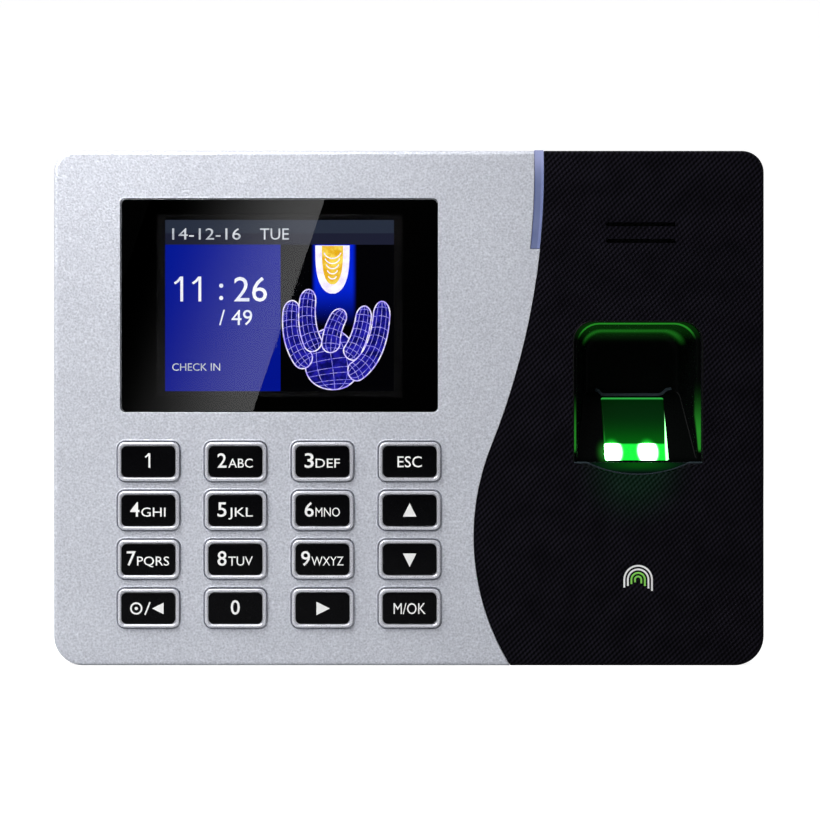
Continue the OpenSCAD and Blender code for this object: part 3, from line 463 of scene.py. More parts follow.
def lip_glow():
    """The floor just below the glass: dark, with painted green light from the lamps in its upper middle; the
    dark part glows faintly green too.
    """
    material, tree, shader, x, _, z = smoked("lip_glow", GLASS_LOW_Z, tone(6, 9, 8), 0.3, 0.03)
    inner = ease(tree, calc(tree, "ABSOLUTE", x), LIP_HALF, 0.0)
    inner = times(tree, inner, ease(tree, z, -0.95 * LIP_SAG, -0.2 * LIP_SAG))
    # Painted light: the lamps' green glow, brightest in the upper middle of the crescent.
    tree.links.new(mix(tree, inner, tone(0, 12, 8), tone(0, 74, 6)), shader["Emission Color"])
    return material


def board_resist():
    """Green board lacquer with copper tracks showing through as a paler maze."""
    material, tree, shader = fresh("board_resist", Coat_Weight=0.3)
    vector = place(tree)[0]
    tracks = put(tree, "ShaderNodeTexVoronoi", {"Vector": vector, "Scale": 420.0}, distance="CHEBYCHEV")
    lines = ease(tree, calc(tree, "FRACT", times(tree, tracks.outputs["Distance"], 5.0)), 0.45, 0.55)
    colour = mix(tree, lines, tone(10, 74, 42), tone(24, 108, 62))
    tree.links.new(colour, shader["Base Color"])
    tree.links.new(plus(tree, lines, -0.12, 0.42), shader["Roughness"])
    bump(tree, shader, lines, 0.3, 0.00003)
    return material


def ribbon_film(axis_x=True):
    """Amber cable film with parallel conductors."""
    material, tree, shader = fresh("ribbon_film_x" if axis_x else "ribbon_film_z")
    _, x, _, z = place(tree)
    wave = calc(tree, "SINE", times(tree, x if axis_x else z, 2 * math.pi / MM))
    line = ease(tree, wave, -0.2, 0.2)
    tree.links.new(mix(tree, line, tone(150, 92, 30), tone(206, 148, 66)), shader["Base Color"])
    tree.links.new(plus(tree, line, 0.15, 0.25), shader["Roughness"])
    return material


def spangled_steel():
    """Galvanised sheet: crystal spangles of slightly different grey."""
    material, tree, shader = fresh("spangled_steel", Metallic=1.0)
    vector = place(tree)[0]
    cells = put(tree, "ShaderNodeTexVoronoi", {"Vector": vector, "Scale": 260.0})
    shade = put(tree, "ShaderNodeSeparateColor", {0: cells.outputs["Color"]}).outputs[0]
    tree.links.new(mix(tree, shade, tone(150, 154, 160), tone(196, 200, 205)), shader["Base Color"])
    tree.links.new(plus(tree, shade, 0.22, 0.3), shader["Roughness"])
    bump(tree, shader, cells.outputs["Distance"], 0.1, 0.0001)
    return material


def woven_cloth():
    """Acoustic cloth: a plain weave of black threads."""
    material, tree, shader = fresh("woven_cloth", Sheen_Weight=0.3)
    _, x, _, z = place(tree)
    turn = 2 * math.pi / (0.35 * MM)
    warp = calc(tree, "SINE", times(tree, x, turn))
    weft = calc(tree, "SINE", times(tree, z, turn))
    over = plus(tree, times(tree, warp, weft), 0.5, 0.5)
    tree.links.new(mix(tree, over, tone(5, 5, 6), tone(30, 30, 33)), shader["Base Color"])
    tree.links.new(plus(tree, over, 0.1, 0.8), shader["Roughness"])
    bump(tree, shader, over, 0.6, 0.00005)
    return material


SILVER = grained("silver_paint", tone(120, 123, 137), tone(244, 247, 255), 0.5 * MM, 0.00016,
                 rough=(0.34, 0.48), dust=0.05, Metallic=0.35)
KEY_SILVER = grained("key_silver", tone(196, 198, 206), tone(228, 229, 236), 0.2 * MM, 0.00001,
                     rough=(0.22, 0.34), dust=0.1, Metallic=0.55)
SHELL = grained("shell_plastic", tone(20, 20, 22), tone(38, 38, 41), 0.45 * MM, 0.00004, rough=(0.42, 0.6))
GLOSS = grained("gloss_black", tone(2, 2, 3), tone(6, 6, 8), 0.5 * MM, 0.000002, rough=(0.1, 0.18),
                dust=0.01, Specular_IOR_Level=0.06)
INK_BLACK = grained("window_print", tone(5, 5, 5), tone(11, 11, 11), 0.3 * MM, 0.000002, rough=(0.3, 0.4),
                    dust=0.0, Specular_IOR_Level=0.1)
WELL_BLACK_AND_PAINTED_GLOW = well_black()
LIP_PAINTED_GLOW = lip_glow()
EDGE_BLACK = grained("edge_black", tone(3, 3, 4), tone(9, 10, 10), 0.4 * MM, 0.000004, rough=(0.3, 0.4),
                     dust=0.02, Specular_IOR_Level=0.1)
LEGEND = grained("legend_ink", tone(222, 222, 220), tone(246, 246, 244), 0.15 * MM, 0.000003,
                 rough=(0.4, 0.5), dust=0.0)
TWILL_BLACK = black_twill()
STEEL = brushed("screw_steel", tone(150, 152, 156), tone(214, 216, 220), 0.15 * MM, 0.22)
PLATE = spangled_steel()
TIN = brushed("tin_shield", tone(172, 172, 170), tone(226, 226, 222), 0.3 * MM, 0.2)
BOARD = board_resist()
# Teal-grey moulding of the glass brow; on the lower lip's edge the same colour is a painted highlight along
# the rim.
BROW_AND_LIP_HIGHLIGHT = grained("brow_plastic_and_lip_highlight", tone(26, 34, 38), tone(48, 58, 64), 0.3 * MM, 0.00001, dust=0.0,
               Specular_IOR_Level=0.1)
WHITE = grained("white_plastic", tone(206, 206, 202), tone(236, 236, 232), 0.4 * MM, 0.00002)
RUBBER = grained("key_silicone", tone(96, 98, 102), tone(128, 130, 134), 0.3 * MM, 0.00003,
                 rough=(0.6, 0.75))
CHIP = grained("chip_epoxy", tone(14, 14, 16), tone(34, 34, 37), 0.12 * MM, 0.00001, rough=(0.45, 0.6))
GREEN = grained("green_plastic", tone(34, 122, 62), tone(64, 164, 92), 0.3 * MM, 0.00001, rough=(0.35, 0.5))
TAPE = grained("black_tape", tone(14, 14, 14), tone(32, 32, 32), 0.2 * MM, 0.00002, rough=(0.7, 0.9))
IVORY = grained("ivory_plastic", tone(206, 200, 182), tone(234, 228, 212), 0.3 * MM, 0.00001)
RED = grained("red_plastic", tone(150, 20, 18), tone(196, 42, 36), 0.3 * MM, 0.00001)
LENS = grained("lens_barrel", tone(18, 20, 26), tone(40, 44, 54), 0.2 * MM, 0.00001, rough=(0.1, 0.2))
LAMP = glow_ink("green_lamp", tone(60, 220, 90), tone(140, 255, 160), 1.0)
GLASS_GLOW = glass_glow()
PIPE = pipe_plastic()
WINDOW = window_glass()
SCREEN = screen_glow()
SCREEN_INK = glow_ink("screen_white", tone(214, 222, 246), tone(250, 252, 255), 1.0)
BAR_INK = glow_ink("screen_grey", tone(176, 182, 192), tone(222, 226, 232), 1.0)

CAD_FINISH = {
    SILVER: ["front_cover"],
    TWILL_BLACK: ["sensor_panel"],
    SHELL: ["rear_shell", "sensor_housing"],
    TAPE: ["window_tape"],
    CHIP: ["lcd_panel", "board_chips", "cell_holder", "power_inlet", "tamper_switch", "speaker"],
    WHITE: ["lcd_bracket", "status_led", "reset_button"],
    ribbon_film(True): ["lcd_ribbon", "keypad_ribbon"],
    ribbon_film(False): ["sensor_cable"],
    PIPE: ["light_pipe"],
    RUBBER: ["keypad_mat"],
    BOARD: ["keypad_board", "main_board", "sensor_board"],
    STEEL: ["key_domes", "keypad_screws", "sensor_screws", "board_screws", "coin_cell"],
    TIN: ["ethernet_jack", "stick_socket", "reset_switch"],
    GREEN: ["terminal_block"],
    IVORY: ["ribbon_sockets"],
    RED: ["tamper_plunger"],
    LENS: ["sensor_lens"],
    LAMP: ["sensor_leds"],
    woven_cloth(): ["speaker_cloth"],
    PLATE: ["wall_plate"],
}
for finish, members in CAD_FINISH.items():
    for member in members:
        NODES[member].data.materials.clear()
        NODES[member].data.materials.append(finish)


# ---------- Surface helpers ----------

def outline(width, height, radii, centre, arc=7, side=8):
    """A rounded rectangle in the XZ plane, anticlockwise as the user sees it: at each corner an arc,
    then even steps along the next side. Gives points and outward normals. radii is (upper, lower)."""
    points, normals = [], []
    signs = [(1, 1), (-1, 1), (-1, -1), (1, -1)]
    starts = []
    for quarter, (sx, sz) in enumerate(signs):
        radius = radii[0] if sz > 0 else radii[1]
        angle = np.pi / 2 * quarter + np.linspace(0, np.pi / 2, arc)
        normal = np.stack([np.cos(angle), np.sin(angle)], 1)
        corner = np.array(centre) + [sx * (width / 2 - radius), sz * (height / 2 - radius)]
        starts.append((corner + radius * normal, normal))
    for quarter in range(4):
        here, normal = starts[quarter]
        ahead = starts[(quarter + 1) % 4][0][0]
        steps = np.linspace(0, 1, side + 2)[1:-1, None]
        points += [here, here[-1] + steps * (ahead - here[-1])]
        normals += [normal, np.repeat(normal[-1:], side, 0)]
    return np.concatenate(points), np.concatenate(normals)


def carried(points, normals, profile):
    """Rings of a profile carried round an outline: each profile row is (distance out, Y)."""
    out, depth = np.array(profile, float).T
    flat = points[None] + normals[None] * out[:, None, None]
    return np.stack([flat[..., 0], np.broadcast_to(depth[:, None], flat.shape[:2]), flat[..., 1]], -1)


def quarter_turn(radius, steps=5):
    """Offsets (inwards, back) of a quarter round edge, from the side to the face."""
    angle = np.linspace(0, np.pi / 2, steps)
    return np.stack([-radius * (1 - np.cos(angle)), radius * (1 - np.sin(angle))], 1)


def add_mesh(name, points, faces, material, body, slot, smooth=True):
    """One mesh object at the origin that rides on a body, with its faces turned outwards."""
    mesh = bpy.data.meshes.new(name)
    mesh.from_pydata(points.tolist(), [], faces)
    work = bmesh.new()
    work.from_mesh(mesh)
    bmesh.ops.recalc_face_normals(work, faces=work.faces)
    work.to_mesh(mesh)
    work.free()
    mesh.polygons.foreach_set("use_smooth", np.full(len(mesh.polygons), smooth))
    if smooth:
        mesh.set_sharp_from_angle(angle=math.radians(35))
    mesh.materials.append(material)
    piece = bpy.data.objects.new(name, mesh)
    bpy.context.scene.collection.objects.link(piece)
    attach(piece, body)
    return piece


def ring_faces(count, around, first=0, wrap=False):
    """Four-sided faces between rings of points; wrap also joins the last ring to the first."""
    rows = np.arange(count if wrap else count - 1)[:, None]
    cols = np.arange(around)[None]
    ahead = (cols + 1) % around
    below = (rows + 1) % count
    quads = np.stack(np.broadcast_arrays(
        rows * around + cols, rows * around + ahead, below * around + ahead, below * around + cols), -1)
    return (quads.reshape(-1, 4) + first).tolist()


def shell_mesh(rings):
    """Closed skin through rings of points, each end drawn together in one point at its middle."""
    count, around = rings.shape[:2]
    points = np.concatenate([rings.reshape(-1, 3), rings[0].mean(0)[None], rings[-1].mean(0)[None]])
    faces = ring_faces(count, around)
    for ring, pole in ((0, count * around), (count - 1, count * around + 1)):
        edge = np.arange(around) + ring * around
        faces += np.stack([edge, np.roll(edge, -1), np.full(around, pole)], 1).tolist()
    return points, faces


def drawn_in(ring, *shares):
    """Copies of a ring drawn in towards its middle, so that a flat face starts right at its edge."""
    middle = ring.mean(0)
    return middle + (ring - middle) * np.array(shares)[:, None, None]


def join_meshes(parts):
    """Several (points, faces) as one."""
    points, faces, first = [], [], 0
    for part_points, part_faces in parts:
        points.append(part_points)
        faces += [[index + first for index in face] for face in part_faces]
        first += len(part_points)
    return np.concatenate(points), faces


def bead_mesh(points, normals, radius, out, y, closed=True):
    """A round bead carried along an outline, its centre moved out by out at depth y."""
    angle = np.linspace(0, 2 * np.pi, 9)[:-1]
    profile = np.stack([out + radius * np.cos(angle), y + radius * np.sin(angle)], 1)
    rings = carried(points, normals, profile).transpose(1, 0, 2)
    count, around = rings.shape[:2]
    if closed:
        return rings.reshape(-1, 3), ring_faces(count, around, wrap=True)
    return shell_mesh(rings)


def flat_mesh(shape, y, thickness):
    """A thin plate: a shape given as [x, z] rows, anticlockwise, with its face at y."""
    count = len(shape)
    front = np.stack([shape[:, 0], np.full(count, y), shape[:, 1]], 1)
    points = np.concatenate([front, front + [0, thickness, 0]])
    index = np.arange(count)
    sides = np.stack([index, np.roll(index, -1), np.roll(index, -1) + count, index + count], 1).tolist()
    return points, [index.tolist(), (index[::-1] + count).tolist()] + sides


def stroke_mesh(line, width, y, thickness, closed=False):
    """A flat ribbon of the given width along a line of [x, z] points; width may change along it."""
    tangent = np.gradient(line, axis=0)
    if closed:
        tangent = np.roll(line, -1, 0) - np.roll(line, 1, 0)
    tangent /= np.maximum(np.linalg.norm(tangent, axis=1, keepdims=True), 1e-9)
    normal = np.stack([-tangent[:, 1], tangent[:, 0]], 1)
    half = (np.broadcast_to(width, len(line)) / 2)[:, None]
    left, right = line + normal * half, line - normal * half
    rows = [np.stack([side[:, 0], np.full(len(line), depth), side[:, 1]], 1)
            for side, depth in ((left, y), (right, y), (right, y + thickness), (left, y + thickness))]
    rings = np.stack(rows, 1)
    if closed:
        return rings.reshape(-1, 3), ring_faces(len(line), 4, wrap=True)
    return shell_mesh(rings)


# Height of a figure in the built-in face, for a text size of 1
FIGURE_HEIGHT = 0.7


def letter_mesh(text, height, x, z, thickness, bold=0.0, width=None):
    """Lettering as a thin plate: the plain built-in face, scaled so that a figure is height tall, and
    drawn together or apart to fill width if that is given."""
    curve = bpy.data.curves.new("lettering", "FONT")
    curve.body = text
    curve.offset = bold
    curve.extrude = 0.5
    curve.resolution_u = 3
    holder = bpy.data.objects.new("lettering", curve)
    mesh = bpy.data.meshes.new_from_object(holder)
    flat = np.zeros(len(mesh.vertices) * 3)
    mesh.vertices.foreach_get("co", flat)
    flat = flat.reshape(-1, 3)
    faces = [list(face.vertices) for face in mesh.polygons]
    scale = height / FIGURE_HEIGHT
    left, right = flat[:, 0].min(), flat[:, 0].max()
    stretch = scale if width is None else width / (right - left)
    flat[:, 0] -= left
    points = np.stack([x + flat[:, 0] * stretch, -flat[:, 2] * thickness, z + flat[:, 1] * scale], 1)
    bpy.data.objects.remove(holder)
    bpy.data.curves.remove(curve)
    bpy.data.meshes.remove(mesh)
    return points, faces


def one_mesh(height, x, z, thickness, weight=0.13):
    """A figure one: an upright stem with a short flag at its upper left."""
    stroke = weight * height
    stem = np.array([[0.32, 0.0], [0.32, 1.0]]) * height
    flag = np.array([[0.03, 0.72], [0.17, 0.82], [0.29, 0.97]]) * height
    place_at = np.array([x, z])
    parts = [stroke_mesh(stem + place_at, stroke, -thickness / 2, thickness),
             stroke_mesh(flag + place_at, stroke * 0.85, -thickness / 2 - 0.002 * MM, thickness)]
    return join_meshes(parts)


# ---------- Keys ----------

LEGENDS = {
    "key_1": ("1", ""), "key_2": ("2", "ABC"), "key_3": ("3", "DEF"), "key_escape": ("", "ESC"),
    "key_4": ("4", "GHI"), "key_5": ("5", "JKL"), "key_6": ("6", "MNO"), "key_up": ("", ""),
    "key_7": ("7", "PQRS"), "key_8": ("8", "TUV"), "key_9": ("9", "WXYZ"), "key_down": ("", ""),
    "key_power_left": ("", ""), "key_0": ("0", ""), "key_right": ("", ""), "key_menu": ("", "M/OK"),
}
FIGURE_H = 3.65 * MM
LETTER_H = 2.3 * MM
LEGEND_Z = -1.5 * MM
INK_T = 0.03 * MM


def arrow(direction, centre, size):
    """A triangle that points along direction."""
    along = np.array(direction, float)
    across = np.array([along[1], -along[0]])
    tip = along * 0.55
    left = -along * 0.45 - across * 0.5
    right = -along * 0.45 + across * 0.5
    return np.array([tip, left, right]) * size + centre


def ring_line(centre, radius, start=0.0, end=2 * np.pi, steps=28):
    """Points along an arc."""
    angle = np.linspace(start, end, steps)
    return np.array(centre) + radius * np.stack([np.cos(angle), np.sin(angle)], 1)


def key_marks(name, cx, cz):
    """The printed marks of one key as (points, faces), flat at Y = 0."""
    figure, letters = LEGENDS[name]
    marks = []
    if figure:
        width = 1.7 * MM if name == "key_1" else 2.3 * MM
        start = cx - (4.5 + 0.9 * max(len(letters) - 3, 0)) * MM if letters else cx - width / 2
        if figure == "1":
            marks.append(one_mesh(FIGURE_H, start, cz + LEGEND_Z, INK_T))
        else:
            marks.append(letter_mesh(figure, FIGURE_H, start, cz + LEGEND_Z, INK_T, 0.008, width))
    if letters:
        width = (1.95 * len(letters) + 0.3) * MM
        start = cx + (4.4 + 0.9 * max(len(letters) - 3, 0)) * MM - width if figure else cx - width / 2
        height = LETTER_H if figure else 2.8 * MM
        base = cz + (LEGEND_Z if figure else -1.4 * MM)
        bold = 0.0 if set("MW") & set(letters) else 0.003
        marks.append(letter_mesh(letters, height, start, base, INK_T, bold, width))
    arrows = {"key_up": (0, 1), "key_down": (0, -1), "key_right": (1, 0)}
    if name in arrows:
        marks.append(flat_mesh(arrow(arrows[name], (cx, cz), 3.4 * MM), -INK_T, INK_T))
    if name == "key_power_left":
        ring = (cx - 3.0 * MM, cz)
        marks.append(stroke_mesh(ring_line(ring, 1.35 * MM)[:-1], 0.42 * MM, -INK_T, INK_T, closed=True))
        marks.append(flat_mesh(ring_line(ring, 0.42 * MM, steps=13)[:-1], -INK_T, INK_T))
        slash = np.array([[cx - 0.8 * MM, cz - 1.6 * MM], [cx + 0.5 * MM, cz + 1.6 * MM]])
        marks.append(stroke_mesh(slash, 0.4 * MM, -INK_T, INK_T))
        marks.append(flat_mesh(arrow((-1, 0), (cx + 2.6 * MM, cz), 2.9 * MM), -INK_T, INK_T))
    return join_meshes(marks)


def make_key(name):
    """A silver cap with a rounded rim, a domed black insert and its printed mark."""
    low, high = node_box(name)
    cx, cz = (low[0] + high[0]) / 2, (low[2] + high[2]) / 2
    width = high[0] - low[0] - 2 * KEY_FLANGE
    height = high[2] - low[2] - 2 * KEY_FLANGE
    flange_y = FRONT_Y + WALL + 0.05 * MM
    points, normals = outline(width, height, (KEY_R, KEY_R), (cx, cz))
    rim = quarter_turn(0.4 * MM)
    inner = KEY_RIM - 0.16 * MM
    profile = [(KEY_FLANGE, high[1] - 2.6 * MM), (KEY_FLANGE, flange_y), (0.0, flange_y)]
    profile += [(out, KEY_TOP + back) for out, back in rim]
    profile += [(-0.45 * MM, KEY_TOP), (-inner + 0.14 * MM, KEY_TOP), (-inner, KEY_TOP + 0.1 * MM)]
    profile += [(-inner - 0.02 * MM, KEY_TOP + 0.5 * MM)]
    cap = shell_mesh(carried(points, normals, profile))
    cap = add_mesh(name + "_cap", *cap, KEY_SILVER, name, "key_cap")
    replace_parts(cap, name)

    face_y = KEY_TOP - 0.06 * MM
    crown = 0.08 * MM

    def dome(x, z):
        """Height of the insert's face: it falls off towards the sides as two crossed parabolas."""
        share_x = np.clip(1 - ((x - cx) / (width / 2)) ** 2, 0, 1)
        share_z = np.clip(1 - ((z - cz) / (height / 2)) ** 2, 0, 1)
        return face_y - crown * share_x * share_z

    points, normals = outline(width - 2 * KEY_RIM, height - 2 * KEY_RIM, (KEY_R - 0.5 * MM,) * 2, (cx, cz))
    edge = quarter_turn(0.22 * MM)
    side = carried(points, normals, [(0.0, KEY_TOP + 0.45 * MM)] + [(out, back) for out, back in edge])
    side[1:, :, 1] += dome(side[1:, :, 0], side[1:, :, 2])
    shares = np.linspace(0.93, 0.1, 7)[:, None]
    face_x = cx + (side[-1, :, 0] - cx) * shares
    face_z = cz + (side[-1, :, 2] - cz) * shares
    face = np.stack([face_x, dome(face_x, face_z), face_z], -1)
    add_mesh(name + "_insert", *shell_mesh(np.concatenate([side, face])), GLOSS, name, "gloss_black")

    mark, faces = key_marks(name, cx, cz)
    mark[:, 1] += dome(mark[:, 0], mark[:, 2]) - 0.012 * MM
    add_mesh(name + "_legend", mark, faces, LEGEND, name, "white_plastic", smooth=False)


KEY_NAMES = list(LEGENDS)
for key_name in KEY_NAMES:
    make_key(key_name)


# ---------- Rounded edges of the cover's openings ----------

BEAD_R = 0.24 * MM


def cover_edges():
    """Small rolled edges round the key holes and the display window."""
    parts = []
    for name in KEY_NAMES:
        low, high = node_box(name)
        centre = ((low[0] + high[0]) / 2, (low[2] + high[2]) / 2)
        size = high - low + 2 * (KEY_GAP - KEY_FLANGE)
        hole = outline(size[0], size[2], (KEY_R + KEY_GAP,) * 2, centre, side=1)
        parts.append(bead_mesh(*hole, BEAD_R, 0.12 * MM, FRONT_Y + 0.19 * MM))
    size = WINDOW_HIGH - WINDOW_LOW + 0.3 * MM
    hole = outline(size[0], size[2], (1.35 * MM,) * 2, (SCREEN_X, SCREEN_Z), side=1)
    parts.append(bead_mesh(*hole, BEAD_R, 0.14 * MM, FRONT_Y + 0.2 * MM))
    return join_meshes(parts)


add_mesh("cover_hole_edges", *cover_edges(), SILVER, "terminal", "silver_paint")


# ---------- Display ----------

def window_slab():
    """Window glass: a plate with a fine rounded arris."""
    size = WINDOW_HIGH - WINDOW_LOW
    points, normals = outline(size[0], size[2], (1.2 * MM,) * 2, (SCREEN_X, SCREEN_Z), side=3)
    arris = [(out, WINDOW_LOW[1] + back) for out, back in quarter_turn(0.15 * MM, 4)]
    rings = carried(points, normals, [(0.0, WINDOW_HIGH[1])] + arris)
    return shell_mesh(np.concatenate([drawn_in(rings[0], 0.99), rings, drawn_in(rings[-1], 0.998, 0.99)]))


def window_border():
    """Black print behind the glass: a band between the window's outline and the picture."""
    size = WINDOW_HIGH - WINDOW_LOW - 0.3 * MM
    outer = outline(size[0], size[2], (1.1 * MM,) * 2, (SCREEN_X, SCREEN_Z), arc=2, side=1)[0]
    inner = outline(SCREEN_W, SCREEN_H, (0.05 * MM,) * 2, (SCREEN_X, SCREEN_Z), arc=2, side=1)[0]
    front_y, back_y = WINDOW_HIGH[1] + 0.01 * MM, WINDOW_HIGH[1] + 0.06 * MM
    rows = [(outer, front_y), (inner, front_y), (inner, back_y), (outer, back_y)]
    rings = np.stack([np.stack([p[:, 0], np.full(len(p), y), p[:, 1]], 1) for p, y in rows])
    return rings.reshape(-1, 3), ring_faces(4, len(outer), wrap=True)


def screen_sheet():
    """Display picture: a thin plate in front of the display panel."""
    lap = 1.6 * MM
    shape = outline(SCREEN_W + lap, SCREEN_H + lap, (0.1 * MM,) * 2, (SCREEN_X, SCREEN_Z), arc=2, side=1)
    return flat_mesh(shape[0], SCREEN_Y, 0.04 * MM)


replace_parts(add_mesh("window_glass", *window_slab(), WINDOW, "terminal", "window_black"), "display_window")
add_mesh("window_border", *window_border(), INK_BLACK, "terminal", "window_black", smooth=False)

LEFT = SCREEN_X - SCREEN_W / 2
TOP = SCREEN_Z + SCREEN_H / 2


def add_mark(name, mesh, material):
    """One flat mark of the display picture; mesh is its points and faces."""
    add_mesh("screen_" + name, *mesh, material, "terminal", "screen", smooth=False)


add_mark("picture", screen_sheet(), SCREEN)


def screen_text(text, height, right, down, width=None):
    """Lettering on the display, its lower left corner measured from the picture's upper left corner."""
    points, faces = letter_mesh(text, height, LEFT + right, TOP - down, INK_T, 0.0, width)
    points[:, 1] += INK_Y
    return points, faces


def screen_one(height, right, down, weight=0.11):
    """A figure one on the display, placed as screen_text is."""
    points, faces = one_mesh(height, LEFT + right, TOP - down, INK_T, weight)
    points[:, 1] += INK_Y
    return points, faces


clock = [
    screen_one(6.3 * MM, 2.1 * MM, 20.6 * MM),
    screen_one(6.3 * MM, 6.7 * MM, 20.6 * MM),
    screen_text(":", 6.3 * MM, 13.6 * MM, 20.2 * MM),
    screen_text("26", 6.3 * MM, 17.4 * MM, 20.6 * MM),
    screen_text("/ 49", 3.9 * MM, 13.6 * MM, 26.6 * MM),
]
status = [
    screen_text("14-12-16", 2.9 * MM, 1.7 * MM, 4.9 * MM, 17.4 * MM),
    screen_text("TUE", 2.9 * MM, 24.0 * MM, 4.9 * MM),
    screen_text("CHECK IN", 1.9 * MM, 1.7 * MM, 38.2 * MM),
]
add_mark("clock", join_meshes(clock), SCREEN_INK)
add_mark("status", join_meshes(status), BAR_INK)


HAND_FILL = glow_ink("hand_fill", tone(8, 10, 92), tone(34, 30, 168), 0.9, 0.0015)
HAND_LINE = glow_ink("hand_line", tone(168, 150, 255), tone(250, 246, 255), 1.1, 0.002)
HATCH_LINE = glow_ink("hatch_line", tone(96, 92, 236), tone(190, 180, 255), 1.0, 0.001)
TIP_FILL = glow_ink("tip_fill", tone(236, 176, 20), tone(255, 226, 90), 1.0, 0.0015)
TIP_RIM = glow_ink("tip_rim", tone(236, 226, 255), tone(255, 255, 255), 1.1, 0.002)


def picture_point(right, down):
    """A place on the display picture, measured in millimetres from its upper left corner."""
    return np.array([LEFT + right * MM, TOP - down * MM])


def digit_spine(base, bend, tip, width):
    """A drawn finger or palm as rows of (left, right) points along a bent spine. The spine is a
    quadratic curve through its bend, and the width rounds off at both ends."""
    share = (0.5 - 0.5 * np.cos(np.linspace(0, np.pi, 33)))[:, None]
    ends = [np.array(base, float), np.array(bend, float), np.array(tip, float)]
    spine = (1 - share) ** 2 * ends[0] + 2 * share * (1 - share) * ends[1] + share ** 2 * ends[2]
    along = np.gradient(spine, axis=0)
    along /= np.linalg.norm(along, axis=1, keepdims=True)
    across = np.stack([along[:, 1], -along[:, 0]], 1)
    reach = np.linalg.norm(np.diff(spine, axis=0), axis=1).sum()
    near = np.minimum(share, 1 - share) * reach / (width / 2)
    half = width / 2 * (1 - 0.18 * share) * np.sqrt(np.clip(1 - (1 - np.clip(near, 0, 1)) ** 2, 0.0004, 1))
    rows = np.stack([spine + across * half, spine - across * half], 1)
    return np.array([LEFT, TOP]) + rows * [MM, -MM]


HAND_DIGITS = [
    ((43.0, 43.0), (42.6, 36.0), (40.6, 27.6), 15.0, 9),
    ((36.4, 37.0), (30.6, 31.0), (32.4, 20.4), 5.2, 9),
    ((38.4, 33.0), (34.6, 27.0), (36.6, 17.6), 4.8, 8),
    ((42.0, 33.6), (41.6, 27.6), (45.2, 22.8), 4.8, 7),
    ((46.2, 35.0), (50.0, 30.4), (50.6, 21.8), 4.6, 8),
    ((46.6, 39.4), (55.0, 35.6), (55.0, 20.6), 5.0, 9),
]


def drawn_hand():
    """An open hand drawn as a wire net: filled palm and fingers, bright rims, and bowed lines across
    and along each."""
    for step, (*digit, count) in enumerate(HAND_DIGITS):
        depth = INK_Y - step * 0.012 * MM
        name = f"hand_{step + 1}"
        rows = digit_spine(*digit)
        shape = np.concatenate([rows[:, 0], rows[::-1, 1]])
        add_mark(name, flat_mesh(shape, depth, 0.006 * MM), HAND_FILL)
        rim = stroke_mesh(shape, 0.3 * MM, depth - 0.006 * MM, 0.005 * MM, closed=True)
        add_mark(name + "_rim", rim, HAND_LINE)
        bow = (1 - np.linspace(-1, 1, 9)[:, None] ** 2) * 0.14
        lines = []
        for index in np.linspace(6, 27, count).astype(int):
            share = np.linspace(0, 1, 9)[:, None]
            ahead = rows[min(index + 2, 32)].mean(0) - rows[index].mean(0)
            line = rows[index, 0] * (1 - share) + rows[index, 1] * share + ahead * bow * 2
            lines.append(stroke_mesh(line, 0.14 * MM, depth - 0.003 * MM, 0.002 * MM))
        for share in (0.22, 0.5, 0.78):
            line = rows[2:-2, 0] * (1 - share) + rows[2:-2, 1] * share
            lines.append(stroke_mesh(line, 0.14 * MM, depth - 0.0035 * MM, 0.002 * MM))
        add_mark(name + "_lines", join_meshes(lines), HATCH_LINE)


def drawn_tip():
    """A fingertip that comes down from the bar: a glowing rim, an amber inside and its ridges."""
    down = np.linspace(6.4, 18.6, 30)
    half = 4.3 * np.sqrt(np.clip(1 - ((down - 6.4) / 12.3) ** 3.2, 0.0, 1)) + 0.05
    shape = np.concatenate([
        np.stack([LEFT + (42.4 - half) * MM, TOP - down * MM], 1),
        np.stack([LEFT + (42.4 + half) * MM, TOP - down * MM], 1)[::-1]])
    middle = shape.mean(0)
    inner = middle + (shape - middle) * [0.62, 0.8] + [0, 1.1 * MM]
    add_mark("tip_rim", flat_mesh(shape, INK_Y, 0.006 * MM), TIP_RIM)
    add_mark("tip", flat_mesh(inner, INK_Y - 0.008 * MM, 0.005 * MM), TIP_FILL)
    ridges = []
    for step in range(5):
        centre = picture_point(42.4, 7.4 + step * 1.6)
        arc = ring_line(centre, (2.3 - 0.3 * step) * MM, np.pi * 1.12, np.pi * 1.88, 12)
        ridges.append(stroke_mesh(arc, 0.3 * MM, INK_Y - 0.014 * MM, 0.004 * MM))
    add_mark("tip_ridges", join_meshes(ridges), TIP_RIM)


drawn_hand()
drawn_tip()


# ---------- Finger recess ----------

def well_ring(depth, grow=0.0, pinch=0.0):
    """Outline of the recess at a depth: the sides close in, the ceiling drops and the floor follows
    the slope of the glass. grow moves it outwards and pinch inwards."""
    share = np.clip(depth / WELL_DEPTH, 0, 1)
    width = FINGER_W - 2 * WELL_DRAFT * share
    top = FINGER_TOP - CEILING_DROP * np.clip((depth - WALL) / (WELL_DEPTH - WALL), 0, 1)
    climb = max(depth - WALL, 0) / math.tan(GLASS_TILT)
    bottom = GLASS_LOW_Z + min(climb, SLOPE_L * math.cos(GLASS_TILT))
    side = grow - pinch
    upper = max(MOUTH_R - 0.8 * MM * share + side, 0.6 * MM)
    lower = max(0.9 * MM + side, 0.3 * MM)
    centre = (FINGER_X, (top + bottom) / 2)
    points = outline(width + 2 * side, top - bottom + 2 * side, (upper, lower), centre, arc=9, side=10)[0]
    return np.stack([points[:, 0], np.full(len(points), FRONT_Y + depth), points[:, 1]], 1)


